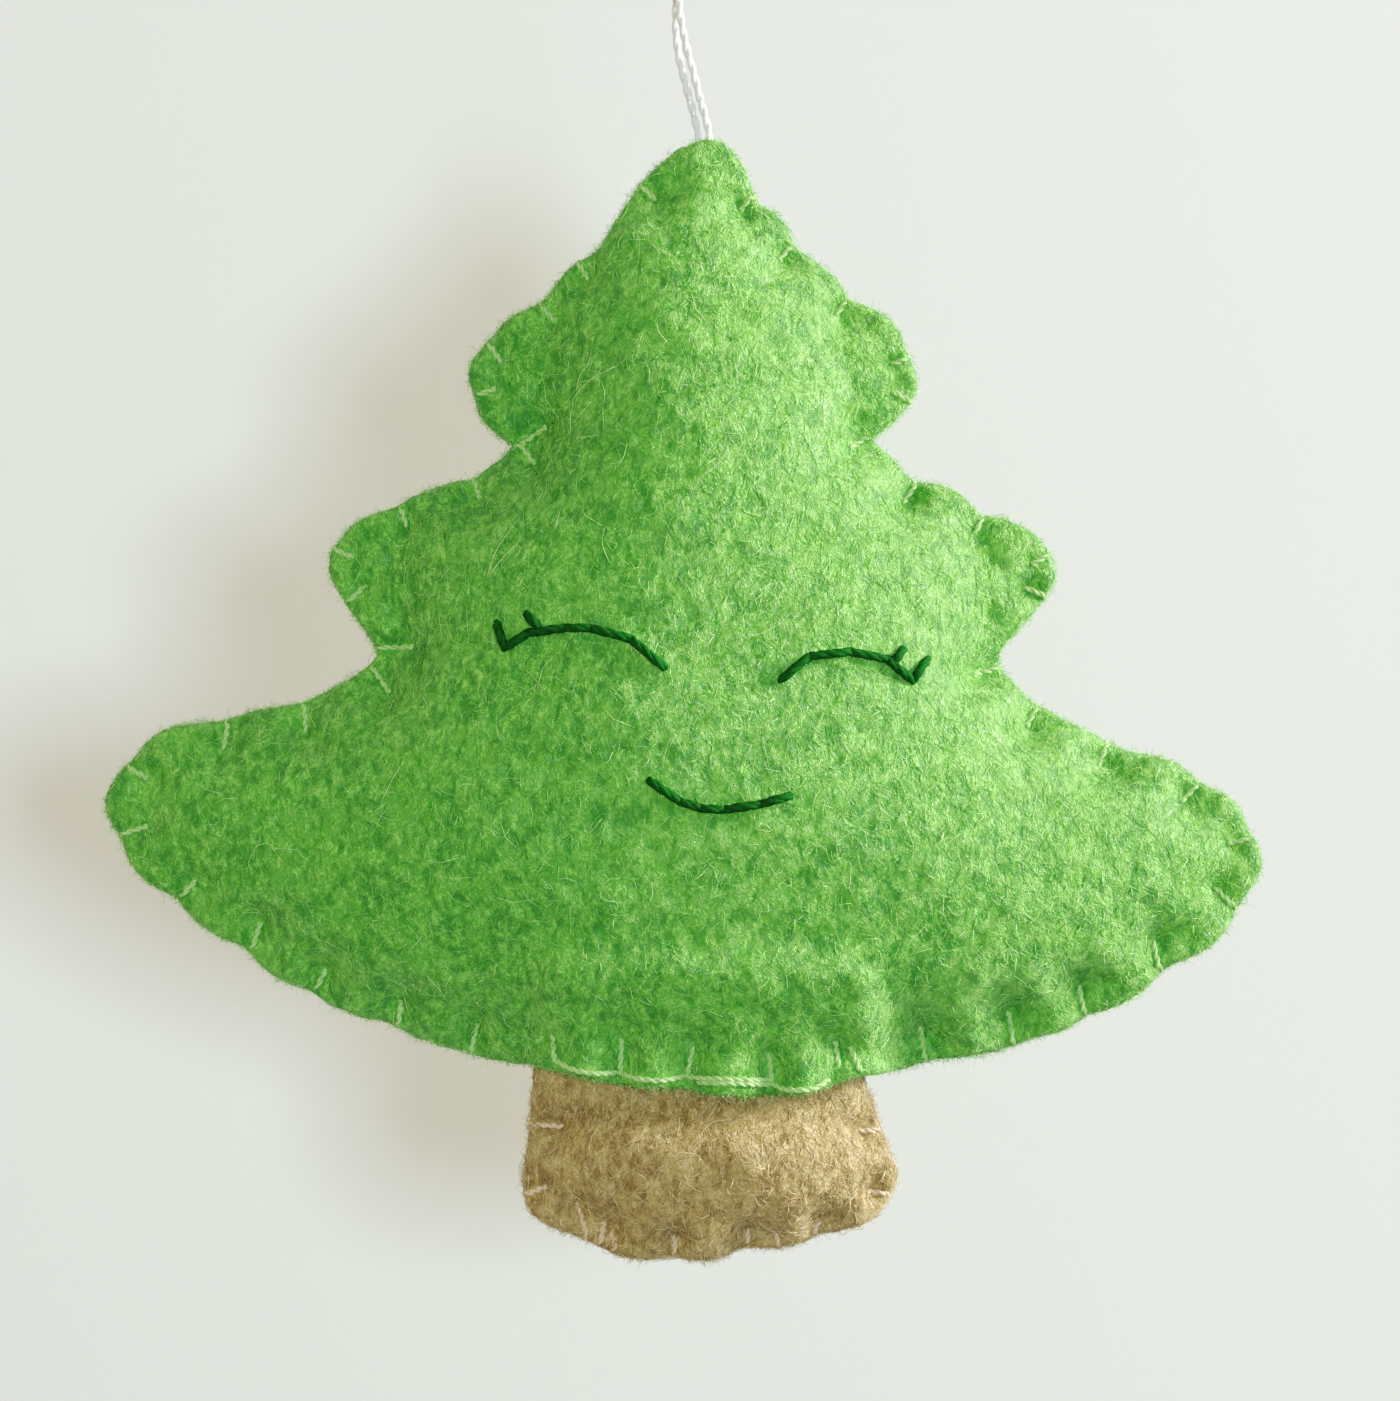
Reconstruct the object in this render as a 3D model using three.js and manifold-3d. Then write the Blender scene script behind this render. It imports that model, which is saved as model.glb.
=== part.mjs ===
// Felt christmas ornament: a stuffed tree of two green felt sheets, blanket stitched round its
// edge, with a stuffed brown trunk tucked into its foot, a sewn sleeping face and a hanging loop.
// Millimetres, +Z up, the face looks along -Y, and the origin is where the loop rests on its hook.
import * as THREE from 'three';
import { mergeVertices } from 'three/addons/utils/BufferGeometryUtils.js';
import Module from 'manifold-3d';

const wasm = await Module();
wasm.setup();

// The tree and its felt
const treeWidth = 92;
const treeHeight = 76;
const treeCrown = 9;
const feltThickness = 1.2;
const seamGap = 0.3;
const scallopDepth = 0.45;
const fitGap = 0.3;

// The trunk, from its tucked top to its foot
const trunkWidth = 29.3;
const trunkHeight = 23;
const trunkTuck = 9.8;
const trunkCrown = 4.6;
const trunkEase = 5;
const trunkSqueezeShare = 0.5;
const footHugShare = 0.74;
const footFreeShare = 1.28;

// The blanket stitches: how far apart, how far in from the edge, and their thread
const treeStitchPitch = 5.8;
const treeStitchLength = 3.1;
const treeThreadDiameter = 0.7;
const trunkStitchPitch = 5.2;
const trunkStitchLength = 2;
const trunkStitchStart = 2.2;
const trunkThreadDiameter = 0.6;

// The face
const faceThreadDiameter = 0.9;

// The hanging loop, the hinge points of its thread above the tip, and its knot
const loopDiameter = 0.55;
const tipAcross = 2.2;
const tipDrop = 18.2;
const swingHeight = 3;
const swayHeight = 0.35;
const strandShare = 0.8;
const hingeGap = 0.6;
const tailLength = 9;
const knotDiameter = 1.8;

// Outlines from the tip, in shares of the tree's width and height, one row from corner to corner
const treeOutlineShares = [
  [
    [0, 0], [-0.037, -0.026], [-0.071, -0.076], [-0.113, -0.13], [-0.152, -0.178],
    [-0.187, -0.212], [-0.204, -0.244], [-0.197, -0.283], [-0.163, -0.321],
  ],
  [
    [-0.163, -0.321], [-0.196, -0.361], [-0.243, -0.376], [-0.29, -0.398],
    [-0.32, -0.43], [-0.32, -0.468], [-0.303, -0.501], [-0.282, -0.547],
  ],
  [
    [-0.282, -0.547], [-0.313, -0.575], [-0.361, -0.598], [-0.414, -0.616], [-0.464, -0.623],
    [-0.5, -0.658], [-0.518, -0.7], [-0.506, -0.745], [-0.469, -0.789], [-0.426, -0.831],
    [-0.381, -0.87], [-0.326, -0.908], [-0.265, -0.936], [-0.196, -0.962], [-0.126, -0.978],
    [-0.057, -0.991], [0.043, -1], [0.109, -0.989], [0.196, -0.966], [0.283, -0.943],
    [0.347, -0.912], [0.404, -0.868], [0.453, -0.826], [0.48, -0.766], [0.465, -0.707],
    [0.422, -0.67], [0.367, -0.647], [0.309, -0.612], [0.27, -0.579], [0.252, -0.543],
  ],
  [
    [0.252, -0.543], [0.276, -0.509], [0.3, -0.465], [0.297, -0.43],
    [0.27, -0.405], [0.222, -0.381], [0.172, -0.351], [0.141, -0.314],
  ],
  [
    [0.141, -0.314], [0.167, -0.287], [0.181, -0.256], [0.172, -0.219], [0.148, -0.182],
    [0.117, -0.157], [0.083, -0.121], [0.052, -0.072], [0.026, -0.023], [0, 0],
  ],
];

// The trunk's outline from its tucked top left corner, in shares of its own width and height
const trunkOutlineShares = [
  [-0.437, 0], [-0.451, -0.347], [-0.478, -0.59], [-0.495, -0.75], [-0.459, -0.844],
  [-0.347, -0.927], [-0.221, -0.986], [-0.038, -1], [0.142, -0.965], [0.298, -0.917],
  [0.443, -0.844], [0.497, -0.733], [0.495, -0.628], [0.454, -0.49], [0.421, -0.347], [0.393, 0],
];
const trunkAcrossShare = 0.003;

// The sewn face, in shares of the tree's width and height from the tip
const faceShares = {
  left_eye_thread: [
    [-0.036, -0.555], [-0.049, -0.54], [-0.077, -0.518], [-0.109, -0.513],
    [-0.135, -0.514], [-0.161, -0.527], [-0.171, -0.534],
  ],
  left_eye_outer_lash: [[-0.182, -0.524], [-0.188, -0.507]],
  left_eye_inner_lash: [[-0.149, -0.501], [-0.155, -0.489]],
  right_eye_thread: [
    [0.065, -0.567], [0.087, -0.546], [0.116, -0.538], [0.144, -0.545], [0.169, -0.561],
    [0.177, -0.567],
  ],
  right_eye_outer_lash: [[0.188, -0.555], [0.197, -0.54]],
  right_eye_inner_lash: [[0.166, -0.54], [0.173, -0.528]],
  mouth_thread: [
    [-0.044, -0.674], [-0.034, -0.686], [-0.011, -0.702], [0.003, -0.705], [0.021, -0.704],
    [0.046, -0.696], [0.07, -0.689],
  ],
};

// The free thread of the loop, from the left strand's foot, over the hook, to the right one's
const loopRoute = [
  [0.52, 0.05, -14.9], [0.2, 0.15, -13.7], [-0.04, 0.25, -12.5], [-0.2, 0.32, -11.3],
  [-0.2, 0.4, -9.7], [-0.16, 0.46, -8.1], [-0.12, 0.55, -6.9], [-0.08, 0.75, -5.2],
  [-0.03, 1.02, -3.4], [0, 1.2, -0.93], [0, 0.85, -0.08], [0, 0, 0.28],
  [0, -0.85, -0.08], [0, -1.2, -0.93], [0, -1.02, -3.4], [0.05, -0.75, -5.2],
  [0.12, -0.55, -6.9], [0.2, -0.46, -8.1], [0.68, -0.35, -10.56], [1.16, -0.22, -12.32],
  [1.56, -0.12, -13.84], [1.83, -0.05, -14.9],
];

// Fineness of the meshes, in shares and counts
const fieldCells = 64;
const relaxRounds = 400;
const relaxGain = 1.85;
const softStartShare = 0.2;
const facetShare = 0.05;
const samplesPerStitch = 2;
const threadSides = 5;
const loopSides = 8;
const faceSteps = 8;
const knotSides = 10;

// Sizes that follow from those above
const treeThreadRadius = treeThreadDiameter / 2;
const trunkThreadRadius = trunkThreadDiameter / 2;
const faceThreadRadius = faceThreadDiameter / 2;
const loopRadius = loopDiameter / 2;
const facet = treeWidth * facetShare;
const trunkAcross = treeWidth * trunkAcrossShare;
const trunkTop = trunkTuck - treeHeight;
const strandOffset = loopRadius * strandShare;
const isBelowKnot = (point) => point.y < -(tailLength + knotDiameter / 2 + fitGap);

// Felt is cut flat, so its outlines are points with x across and y up, seen from the front.
const flat = (x, y) => new THREE.Vector2(x, y);
const treePoint = ([x, y]) => flat(x * treeWidth, y * treeHeight);
const trunkPoint = ([x, y]) => flat(trunkAcross + x * trunkWidth, trunkTop + y * trunkHeight);
const ramp = THREE.MathUtils.smoothstep;

// Solids of the boolean library from closed geometries, and back
function solidOf(geometry) {
  const bare = geometry.clone();
  bare.deleteAttribute('normal');
  bare.deleteAttribute('uv');
  const merged = mergeVertices(bare);
  return new wasm.Manifold(new wasm.Mesh({
    numProp: 3,
    vertProperties: new Float32Array(merged.attributes.position.array),
    triVerts: new Uint32Array(merged.index.array),
  }));
}

function geometryOf(solid) {
  const mesh = solid.getMesh();
  const geometry = new THREE.BufferGeometry();
  geometry.setAttribute('position', new THREE.BufferAttribute(mesh.vertProperties, 3));
  geometry.setIndex(new THREE.BufferAttribute(mesh.triVerts, 1));
  return geometry;
}

function joined(geometries) {
  let solids = geometries.map(solidOf);
  while (solids.length > 1) {
    const pairs = [];
    for (let i = 0; i < solids.length; i += 2) {
      pairs.push(i + 1 < solids.length ? solids[i].add(solids[i + 1]) : solids[i]);
    }
    solids = pairs;
  }
  return geometryOf(solids[0]);
}

const cutBy = (geometry, tool) => geometryOf(solidOf(geometry).subtract(solidOf(tool)));

// Thread: a tube whose rings lie on the points of its route
class Route extends THREE.Curve {
  constructor(points) {
    super();
    this.points = points;
  }

  getPoint(t) {
    const along = t * (this.points.length - 1);
    const first = Math.min(Math.floor(along), this.points.length - 2);
    return this.points[first].clone().lerp(this.points[first + 1], along - first);
  }

  getPointAt(u) {
    return this.getPoint(u);
  }

  getTangentAt(u) {
    const last = this.points.length - 1;
    const at = Math.round(u * last);
    const tangent = new THREE.Vector3();
    if (at > 0) {
      tangent.add(this.points[at].clone().sub(this.points[at - 1]).normalize());
    }
    if (at < last) {
      tangent.add(this.points[at + 1].clone().sub(this.points[at]).normalize());
    }
    return tangent.normalize();
  }
}

function thread(points, radius, sides) {
  const corners = [];
  for (let i = 0; i < sides; i += 1) {
    const angle = (i / sides) * 2 * Math.PI;
    corners.push(flat(radius * Math.cos(angle), radius * Math.sin(angle)));
  }
  return new THREE.ExtrudeGeometry(new THREE.Shape(corners), {
    steps: points.length - 1,
    extrudePath: new Route(points),
  });
}

function edgeDistance(contour, point) {
  let least = Infinity;
  contour.forEach((a, i) => {
    const side = contour[(i + 1) % contour.length].clone().sub(a);
    const from = point.clone().sub(a);
    const along = THREE.MathUtils.clamp(from.dot(side) / side.lengthSq(), 0, 1);
    least = Math.min(least, from.addScaledVector(side, -along).length());
  });
  return least;
}

function contains(contour, point) {
  let inside = false;
  contour.forEach((a, i) => {
    const b = contour[(i + 1) % contour.length];
    const level = (point.y - a.y) / (b.y - a.y);
    if ((a.y > point.y) !== (b.y > point.y) && point.x < a.x + level * (b.x - a.x)) {
      inside = !inside;
    }
  });
  return inside;
}

const inset = (sample, depth) => sample.point.clone().addScaledVector(sample.inward, depth);

// The border of a felt piece: points along its cut edge, each with its direction into the felt.
// A stitch draws the edge in, and the samples between two stitches stay where they were cut.
// A stitch is left out where its hole would run into another hole, the edge or something else.
function borderOf(runs, sewing) {
  const { pitch, stitchLength, holeHalf, isSewn, isClear } = sewing;
  const border = [];
  runs.forEach((run) => {
    const curve = new THREE.SplineCurve(run);
    const stitches = Math.round(curve.getLength() / pitch);
    const points = curve.getSpacedPoints(stitches * samplesPerStitch);
    points.forEach((point, i) => {
      if (i > 0 || runs.length === 1) {
        border.push({ point, sewn: i % samplesPerStitch === 0 && isSewn(point) });
      }
    });
  });
  const count = border.length;
  border.forEach((sample, i) => {
    const along = border[(i + 1) % count].point.clone().sub(border[(i + count - 1) % count].point);
    sample.inward = flat(-along.y, along.x).normalize();
  });
  const cut = border.map((sample) => sample.point);
  const room = Math.SQRT2 * holeHalf + fitGap;
  const holes = [];
  border.filter((sample) => sample.sewn).forEach((sample) => {
    const hole = inset(sample, stitchLength);
    sample.sewn = isClear(hole) && edgeDistance(cut, hole) > room
      && holes.every((other) => other.distanceTo(hole) > 2 * room);
    if (sample.sewn) {
      holes.push(hole);
      sample.point = inset(sample, scallopDepth);
    }
  });
  return border;
}

// How stuffing lifts a sheet, from 0 along its sewn border to 1 at its crown: the shape of a skin
// that is held along the border and pressed from inside, relaxed on a grid of square cells
function skinOver(contour, margin, cell) {
  const box = new THREE.Box2().setFromPoints(contour);
  const columns = Math.ceil((box.max.x - box.min.x) / cell) + 1;
  const rows = Math.ceil((box.max.y - box.min.y) / cell) + 1;
  const level = new Float64Array(columns * rows);
  const free = [];
  for (let row = 1; row < rows - 1; row += 1) {
    for (let column = 1; column < columns - 1; column += 1) {
      const point = flat(box.min.x + column * cell, box.min.y + row * cell);
      if (contains(contour, point) && edgeDistance(contour, point) > margin) {
        free.push(row * columns + column);
      }
    }
  }
  for (let round = 0; round < relaxRounds; round += 1) {
    free.forEach((at) => {
      const around = level[at - 1] + level[at + 1] + level[at - columns] + level[at + columns];
      level[at] += relaxGain * ((around + 1) / 4 - level[at]);
    });
  }
  const crown = level.reduce((most, value) => Math.max(most, value), 0);
  return (point) => {
    const x = THREE.MathUtils.clamp((point.x - box.min.x) / cell, 0, columns - 1);
    const y = THREE.MathUtils.clamp((point.y - box.min.y) / cell, 0, rows - 1);
    const column = Math.min(Math.floor(x), columns - 2);
    const row = Math.min(Math.floor(y), rows - 2);
    const at = row * columns + column;
    const low = THREE.MathUtils.lerp(level[at], level[at + 1], x - column);
    const high = THREE.MathUtils.lerp(level[at + columns], level[at + columns + 1], x - column);
    const share = THREE.MathUtils.lerp(low, high, y - row) / crown;
    const rise = Math.hypot(Math.sqrt(share), softStartShare) - softStartShare;
    return rise / (Math.hypot(1, softStartShare) - softStartShare);
  };
}

// The outside of a sheet of felt, from the height of its inside above the seam
function outsideOf(inside) {
  const step = feltThickness / 2;
  return (point) => {
    const right = inside(flat(point.x + step, point.y)) - inside(flat(point.x - step, point.y));
    const up = inside(flat(point.x, point.y + step)) - inside(flat(point.x, point.y - step));
    return inside(point) + feltThickness * Math.hypot(1, right / (2 * step), up / (2 * step));
  };
}

// Facets of a flat piece with holes: the plain triangulation of its outline takes the inner
// points one by one, and an edge is flipped wherever that gives rounder triangles
function facetsOf(contour, holes, innerPoints) {
  const points = [...contour, ...holes.flat()];
  const far = points.length + innerPoints.length;
  const thirds = new Map();
  const key = (a, b) => a * far + b;
  const add = (a, b, c) => {
    thirds.set(key(a, b), c);
    thirds.set(key(b, c), a);
    thirds.set(key(c, a), b);
  };
  const remove = (a, b, c) => {
    thirds.delete(key(a, b));
    thirds.delete(key(b, c));
    thirds.delete(key(c, a));
  };
  const turn = (a, b, c) => b.clone().sub(a).cross(c.clone().sub(a));
  const isInCircle = (a, b, c, d) => {
    const [p, q, r] = [a, b, c].map((corner) => corner.clone().sub(d));
    return p.lengthSq() * q.cross(r) - q.lengthSq() * p.cross(r) + r.lengthSq() * p.cross(q) > 0;
  };
  const flip = (a, b) => {
    const c = thirds.get(key(a, b));
    const d = thirds.get(key(b, a));
    if (c === undefined || d === undefined) {
      return;
    }
    if (!isInCircle(points[a], points[b], points[c], points[d])) {
      return;
    }
    if (turn(points[a], points[d], points[c]) <= 0 || turn(points[d], points[b], points[c]) <= 0) {
      return;
    }
    remove(a, b, c);
    remove(b, a, d);
    add(a, d, c);
    add(d, b, c);
    flip(a, d);
    flip(d, b);
    flip(b, c);
    flip(c, a);
  };
  THREE.ShapeUtils.triangulateShape(contour, holes).forEach(([a, b, c]) => {
    if (turn(points[a], points[b], points[c]) > 0) {
      add(a, b, c);
    } else {
      add(a, c, b);
    }
  });
  [...thirds.keys()].forEach((edge) => flip(Math.floor(edge / far), edge % far));
  innerPoints.forEach((point) => {
    const edge = [...thirds.keys()].find((candidate) => {
      const a = Math.floor(candidate / far);
      const b = candidate % far;
      const c = thirds.get(candidate);
      return turn(points[a], points[b], point) > 0
        && turn(points[b], points[c], point) > 0
        && turn(points[c], points[a], point) >= 0;
    });
    if (edge === undefined) {
      return;
    }
    const a = Math.floor(edge / far);
    const b = edge % far;
    const c = thirds.get(edge);
    const middle = points.push(point) - 1;
    remove(a, b, c);
    add(a, b, middle);
    add(b, c, middle);
    add(c, a, middle);
    flip(a, b);
    flip(b, c);
    flip(c, a);
  });
  const faces = [];
  thirds.forEach((c, edge) => {
    const a = Math.floor(edge / far);
    const b = edge % far;
    if (a < b && a < c) {
      faces.push([a, b, c]);
    }
  });
  return { points, faces };
}

// A solid over flat facets, between the surfaces y = front(point) and y = back(point)
function slabOf(facets, front, back) {
  const { points, faces } = facets;
  const count = points.length;
  const positions = [];
  [front, back].forEach((surface) => {
    points.forEach((point) => positions.push(point.x, surface(point), point.y));
  });
  const index = [];
  const edges = new Set(faces.flatMap(([a, b, c]) => [a * count + b, b * count + c, c * count + a]));
  faces.forEach(([a, b, c]) => {
    index.push(a, b, c, a + count, c + count, b + count);
    [[a, b], [b, c], [c, a]].forEach(([from, to]) => {
      if (!edges.has(to * count + from)) {
        index.push(from, from + count, to + count, from, to + count, to);
      }
    });
  });
  const geometry = new THREE.BufferGeometry();
  geometry.setAttribute('position', new THREE.Float32BufferAttribute(positions, 3));
  geometry.setIndex(index);
  return geometry;
}

// Facets of a sheet of felt: its scalloped edge, a square hole for each stitch, two rows that
// keep the sewn border flat and its rise crisp, and an even net of points over the rest
function sheetFacets(border, stitchLength, holeHalf, margin) {
  const contour = border.map((sample) => sample.point);
  const holes = border.filter((sample) => sample.sewn).map((sample) => {
    const centre = inset(sample, stitchLength);
    const across = flat(-sample.inward.y, sample.inward.x);
    return [[-1, -1], [-1, 1], [1, 1], [1, -1]].map(([u, v]) => centre.clone()
      .addScaledVector(across, u * holeHalf).addScaledVector(sample.inward, v * holeHalf));
  });
  const between = border.filter((sample) => !sample.sewn);
  const rows = [
    ...between.map((sample) => inset(sample, margin)),
    ...between.map((sample) => inset(sample, margin + facet / 2)),
  ];
  const isFree = (point, depth) => contains(contour, point) && edgeDistance(contour, point) > depth;
  const inner = rows.filter((point) => isFree(point, margin - holeHalf / 2));
  const box = new THREE.Box2().setFromPoints(contour);
  const rise = facet * Math.sqrt(3) / 2;
  for (let row = 0; box.min.y + row * rise < box.max.y; row += 1) {
    for (let x = box.min.x + (row % 2) * facet / 2; x < box.max.x; x += facet) {
      const point = flat(x, box.min.y + row * rise);
      if (isFree(point, margin + facet)) {
        inner.push(point);
      }
    }
  }
  return facetsOf(contour, holes, inner);
}

// The facets that hang together by their edges with the first one
function patchOf(faces) {
  const owners = new Map();
  faces.forEach((face) => face.forEach((a, i) => owners.set(`${a} ${face[(i + 1) % 3]}`, face)));
  const patch = new Set([faces[0]]);
  patch.forEach((face) => face.forEach((a, i) => {
    const neighbour = owners.get(`${face[(i + 1) % 3]} ${a}`);
    if (neighbour) {
      patch.add(neighbour);
    }
  }));
  return [...patch];
}

// Stuffing: it fills the space inside the sheets wherever that is higher than the felt is thick
// and free of other things. Its facets lie under those of the sheets, and it ends where it would
// hang on by a corner only.
function stuffingOf({ points, faces }, inside, isFree) {
  const height = (point) => inside(point) - fitGap;
  const level = ([a, b, c]) => Math.min(...[a, b, c].map((i) => height(points[i])));
  let filled = faces.filter((face) => level(face) > feltThickness
    && face.every((i) => isFree(points[i])));
  filled.sort((one, other) => level(other) - level(one));
  let corners = new Set([null]);
  while (corners.size > 0) {
    filled = patchOf(filled);
    const edges = new Set(filled.flatMap(([a, b, c]) => [`${a} ${b}`, `${b} ${c}`, `${c} ${a}`]));
    const starts = [...edges].map((edge) => edge.split(' ').map(Number))
      .filter(([from, to]) => !edges.has(`${to} ${from}`)).map(([from]) => from);
    corners = new Set(starts.filter((corner, i) => starts.indexOf(corner) !== i));
    const pinched = corners;
    filled = filled.filter((face) => !face.some((i) => pinched.has(i)));
  }
  return slabOf({ points, faces: filled }, (p) => -height(p), height);
}

// One side of a blanket stitch, on the front (side -1) or the back (side 1): from the edge of the
// felt over its outside to the hole, and into it as far as the depth given
function stitchSide(sample, side, sewing, endDepth) {
  const { stitchLength, radius, outside } = sewing;
  const edge = -(fitGap + radius);
  const lie = (depth) => outside(inset(sample, depth)) + fitGap + radius;
  const steps = [
    [edge, lie(0) - radius],
    [edge + radius, lie(0)],
    [stitchLength, lie(stitchLength)],
    [stitchLength, endDepth],
  ];
  return steps.map(([depth, height]) => {
    const point = inset(sample, depth);
    return new THREE.Vector3(point.x, side * height, point.y);
  });
}

// A point of the thread that lies along the edge of the felt
function edgePoint(sample, height, sewing) {
  const point = inset(sample, -(fitGap + sewing.radius));
  return new THREE.Vector3(point.x, height, point.y);
}

// A whole edge thread: it starts and ends where the border has no stitches. One loop of it holds
// both sheets. Where they part over something tucked in, each sheet has its own stitches and its
// own stretch of thread along the edge.
function edgeThread(border, sewing) {
  const { radius, rimHeight, isParted, stitchLength } = sewing;
  const sewn = border.filter((sample) => sample.sewn);
  const pieces = [];
  sewn.forEach((sample) => {
    if (isParted(sample.point)) {
      [-1, 1].forEach((side) => {
        const start = edgePoint(sample, side * (rimHeight(sample.point) - radius / 2), sewing);
        const end = sewing.inside(inset(sample, stitchLength));
        pieces.push([start, ...stitchSide(sample, side, sewing, end)]);
      });
    } else {
      pieces.push([
        edgePoint(sample, -radius / 2, sewing),
        ...stitchSide(sample, -1, sewing, 0),
        ...stitchSide(sample, 1, sewing, 0).reverse().slice(1),
        edgePoint(sample, radius / 2, sewing),
      ]);
    }
  });
  const first = border.indexOf(sewn[0]);
  const last = border.indexOf(sewn.at(-1));
  const along = border.slice(first, last + 1);
  pieces.push(along.map((sample) => edgePoint(sample, -rimHeight(sample.point), sewing)));
  const parted = sewn.flatMap((sample, i) => (isParted(sample.point) ? [i] : []));
  if (parted.length > 0) {
    const from = border.indexOf(sewn[parted[0] - 1]);
    const to = border.indexOf(sewn[parted.at(-1) + 1]);
    const behind = border.slice(from, to + 1);
    pieces.push(behind.map((sample) => edgePoint(sample, rimHeight(sample.point), sewing)));
  }
  return joined(pieces.map((points) => thread(points, radius, threadSides)));
}

// The trunk: its border, its swell, and the squeeze where the tree's foot grips it
const trunkHoleHalf = trunkThreadRadius + fitGap;
const trunkMargin = trunkStitchLength + trunkHoleHalf;
const trunkBorder = borderOf([trunkOutlineShares.map(trunkPoint)], {
  pitch: trunkStitchPitch,
  stitchLength: trunkStitchLength,
  holeHalf: trunkHoleHalf,
  isSewn: (point) => point.y < -treeHeight - trunkStitchStart,
  isClear: () => true,
});
const trunkContour = trunkBorder.map((sample) => sample.point);
const trunkRaised = [
  ...trunkContour,
  flat(trunkContour.at(-1).x, trunkTop + trunkWidth),
  flat(trunkContour[0].x, trunkTop + trunkWidth),
];
const trunkSkin = skinOver(trunkRaised, trunkMargin, treeWidth / fieldCells);
const trunkInside = (point) => {
  const grip = ramp(point.y, -treeHeight - trunkEase, -treeHeight);
  const swell = THREE.MathUtils.lerp(1, trunkSqueezeShare, grip);
  return seamGap / 2 + trunkCrown * swell * trunkSkin(point);
};
const trunkOutside = outsideOf(trunkInside);

// The tree: its border, its swell, and the lift of its foot over the trunk
const treeHoleHalf = treeThreadRadius + fitGap;
const treeMargin = treeStitchLength + treeHoleHalf;
const treeBorder = borderOf(treeOutlineShares.map((run) => run.map(treePoint)), {
  pitch: treeStitchPitch,
  stitchLength: treeStitchLength,
  holeHalf: treeHoleHalf,
  isSewn: (point) => point.length() > treeStitchPitch / 2,
  isClear: (hole) => Math.abs(hole.x) > strandOffset + loopRadius + treeHoleHalf + fitGap
    || isBelowKnot(hole),
});
const treeContour = treeBorder.map((sample) => sample.point);
const treeSkin = skinOver(treeContour, treeMargin, treeWidth / fieldCells);
const footLift = trunkOutside(flat(trunkAcross, -treeHeight)) + fitGap;
const footShare = (point) => {
  const across = Math.abs(point.x - trunkAcross) / (trunkWidth / 2);
  const above = ramp(point.y, trunkTop, trunkTop + trunkEase);
  return (1 - ramp(across, footHugShare, footFreeShare)) * (1 - above);
};
const treeInside = (point) => {
  const swell = treeCrown * treeSkin(point);
  return seamGap / 2 + Math.cbrt(swell ** 3 + (footLift * footShare(point)) ** 3);
};
const treeOutside = outsideOf(treeInside);

// Two sheets and their stuffing
function sheetsOf(facets, inside, outside, isFree) {
  return {
    front: slabOf(facets, (p) => -outside(p), (p) => -inside(p)),
    back: slabOf(facets, inside, outside),
    stuffing: stuffingOf(facets, inside, isFree),
  };
}
const treeFacets = sheetFacets(treeBorder, treeStitchLength, treeHoleHalf, treeMargin);
const trunkFacets = sheetFacets(trunkBorder, trunkStitchLength, trunkHoleHalf, trunkMargin);
const isClearOfTrunk = (point) => point.y > trunkTop + facet / 2
  || Math.abs(point.x - trunkAcross) > (trunkWidth + facet) / 2;
const tree = sheetsOf(treeFacets, treeInside, treeOutside, (p) => isBelowKnot(p) && isClearOfTrunk(p));
const trunk = sheetsOf(trunkFacets, trunkInside, trunkOutside, () => true);

// The loop's tails in the seam under the tip, side by side, and the knot that stops them.
// With room > 0 this is the space that they need.
function anchorOf(room) {
  const top = swayHeight - hingeGap / 2 + room;
  const tails = [-1, 1].map((side) => thread([
    new THREE.Vector3(side * strandOffset, 0, top),
    new THREE.Vector3(side * strandOffset, 0, -tailLength / 2),
    new THREE.Vector3(side * strandOffset, 0, -tailLength),
  ], loopRadius + room, loopSides));
  const knot = new THREE.SphereGeometry(knotDiameter / 2 + room, knotSides, knotSides / 2);
  return joined([...tails, knot.translate(0, 0, -tailLength)]);
}

// The loop's neck: both strands run down from the free loop and come together over the tip
function neckOf() {
  const top = swingHeight - hingeGap / 2;
  const foot = swayHeight + hingeGap / 2;
  const ends = [loopRoute[0], loopRoute.at(-1)].map(([x, y]) => [x - tipAcross, y]);
  return joined(ends.map(([x, y], i) => {
    const side = i === 0 ? -1 : 1;
    return thread([
      new THREE.Vector3(x, y, top),
      new THREE.Vector3(x, y, top - loopRadius),
      new THREE.Vector3(side * strandOffset, 0, foot + loopDiameter),
      new THREE.Vector3(side * strandOffset, 0, foot),
    ], loopRadius, loopSides);
  }));
}

// A line of the face: thread laid on the front sheet
function faceLine(shares) {
  const curve = new THREE.SplineCurve(shares.map(treePoint));
  const steps = shares.length > 2 ? faceSteps : 1;
  return thread(curve.getSpacedPoints(steps).map((point) => {
    const lie = treeOutside(point) + fitGap + faceThreadRadius;
    return new THREE.Vector3(point.x, -lie, point.y);
  }), faceThreadRadius, threadSides);
}

// How far the edge thread lies from the seam, on the felt's own edge where the sheets part
const treeRimHeight = (point) => {
  const opening = treeInside(point) - seamGap / 2;
  return opening * (1 + (feltThickness + seamGap) / (2 * footLift));
};
const treeSewing = {
  stitchLength: treeStitchLength,
  radius: treeThreadRadius,
  inside: treeInside,
  outside: treeOutside,
  rimHeight: treeRimHeight,
  isParted: (point) => point.y < trunkTop
    && Math.abs(point.x - trunkAcross) < trunkWidth / 2 + treeHoleHalf,
};
const trunkSewing = {
  stitchLength: trunkStitchLength,
  radius: trunkThreadRadius,
  inside: trunkInside,
  outside: trunkOutside,
  rimHeight: () => 0,
  isParted: () => false,
};

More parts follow.
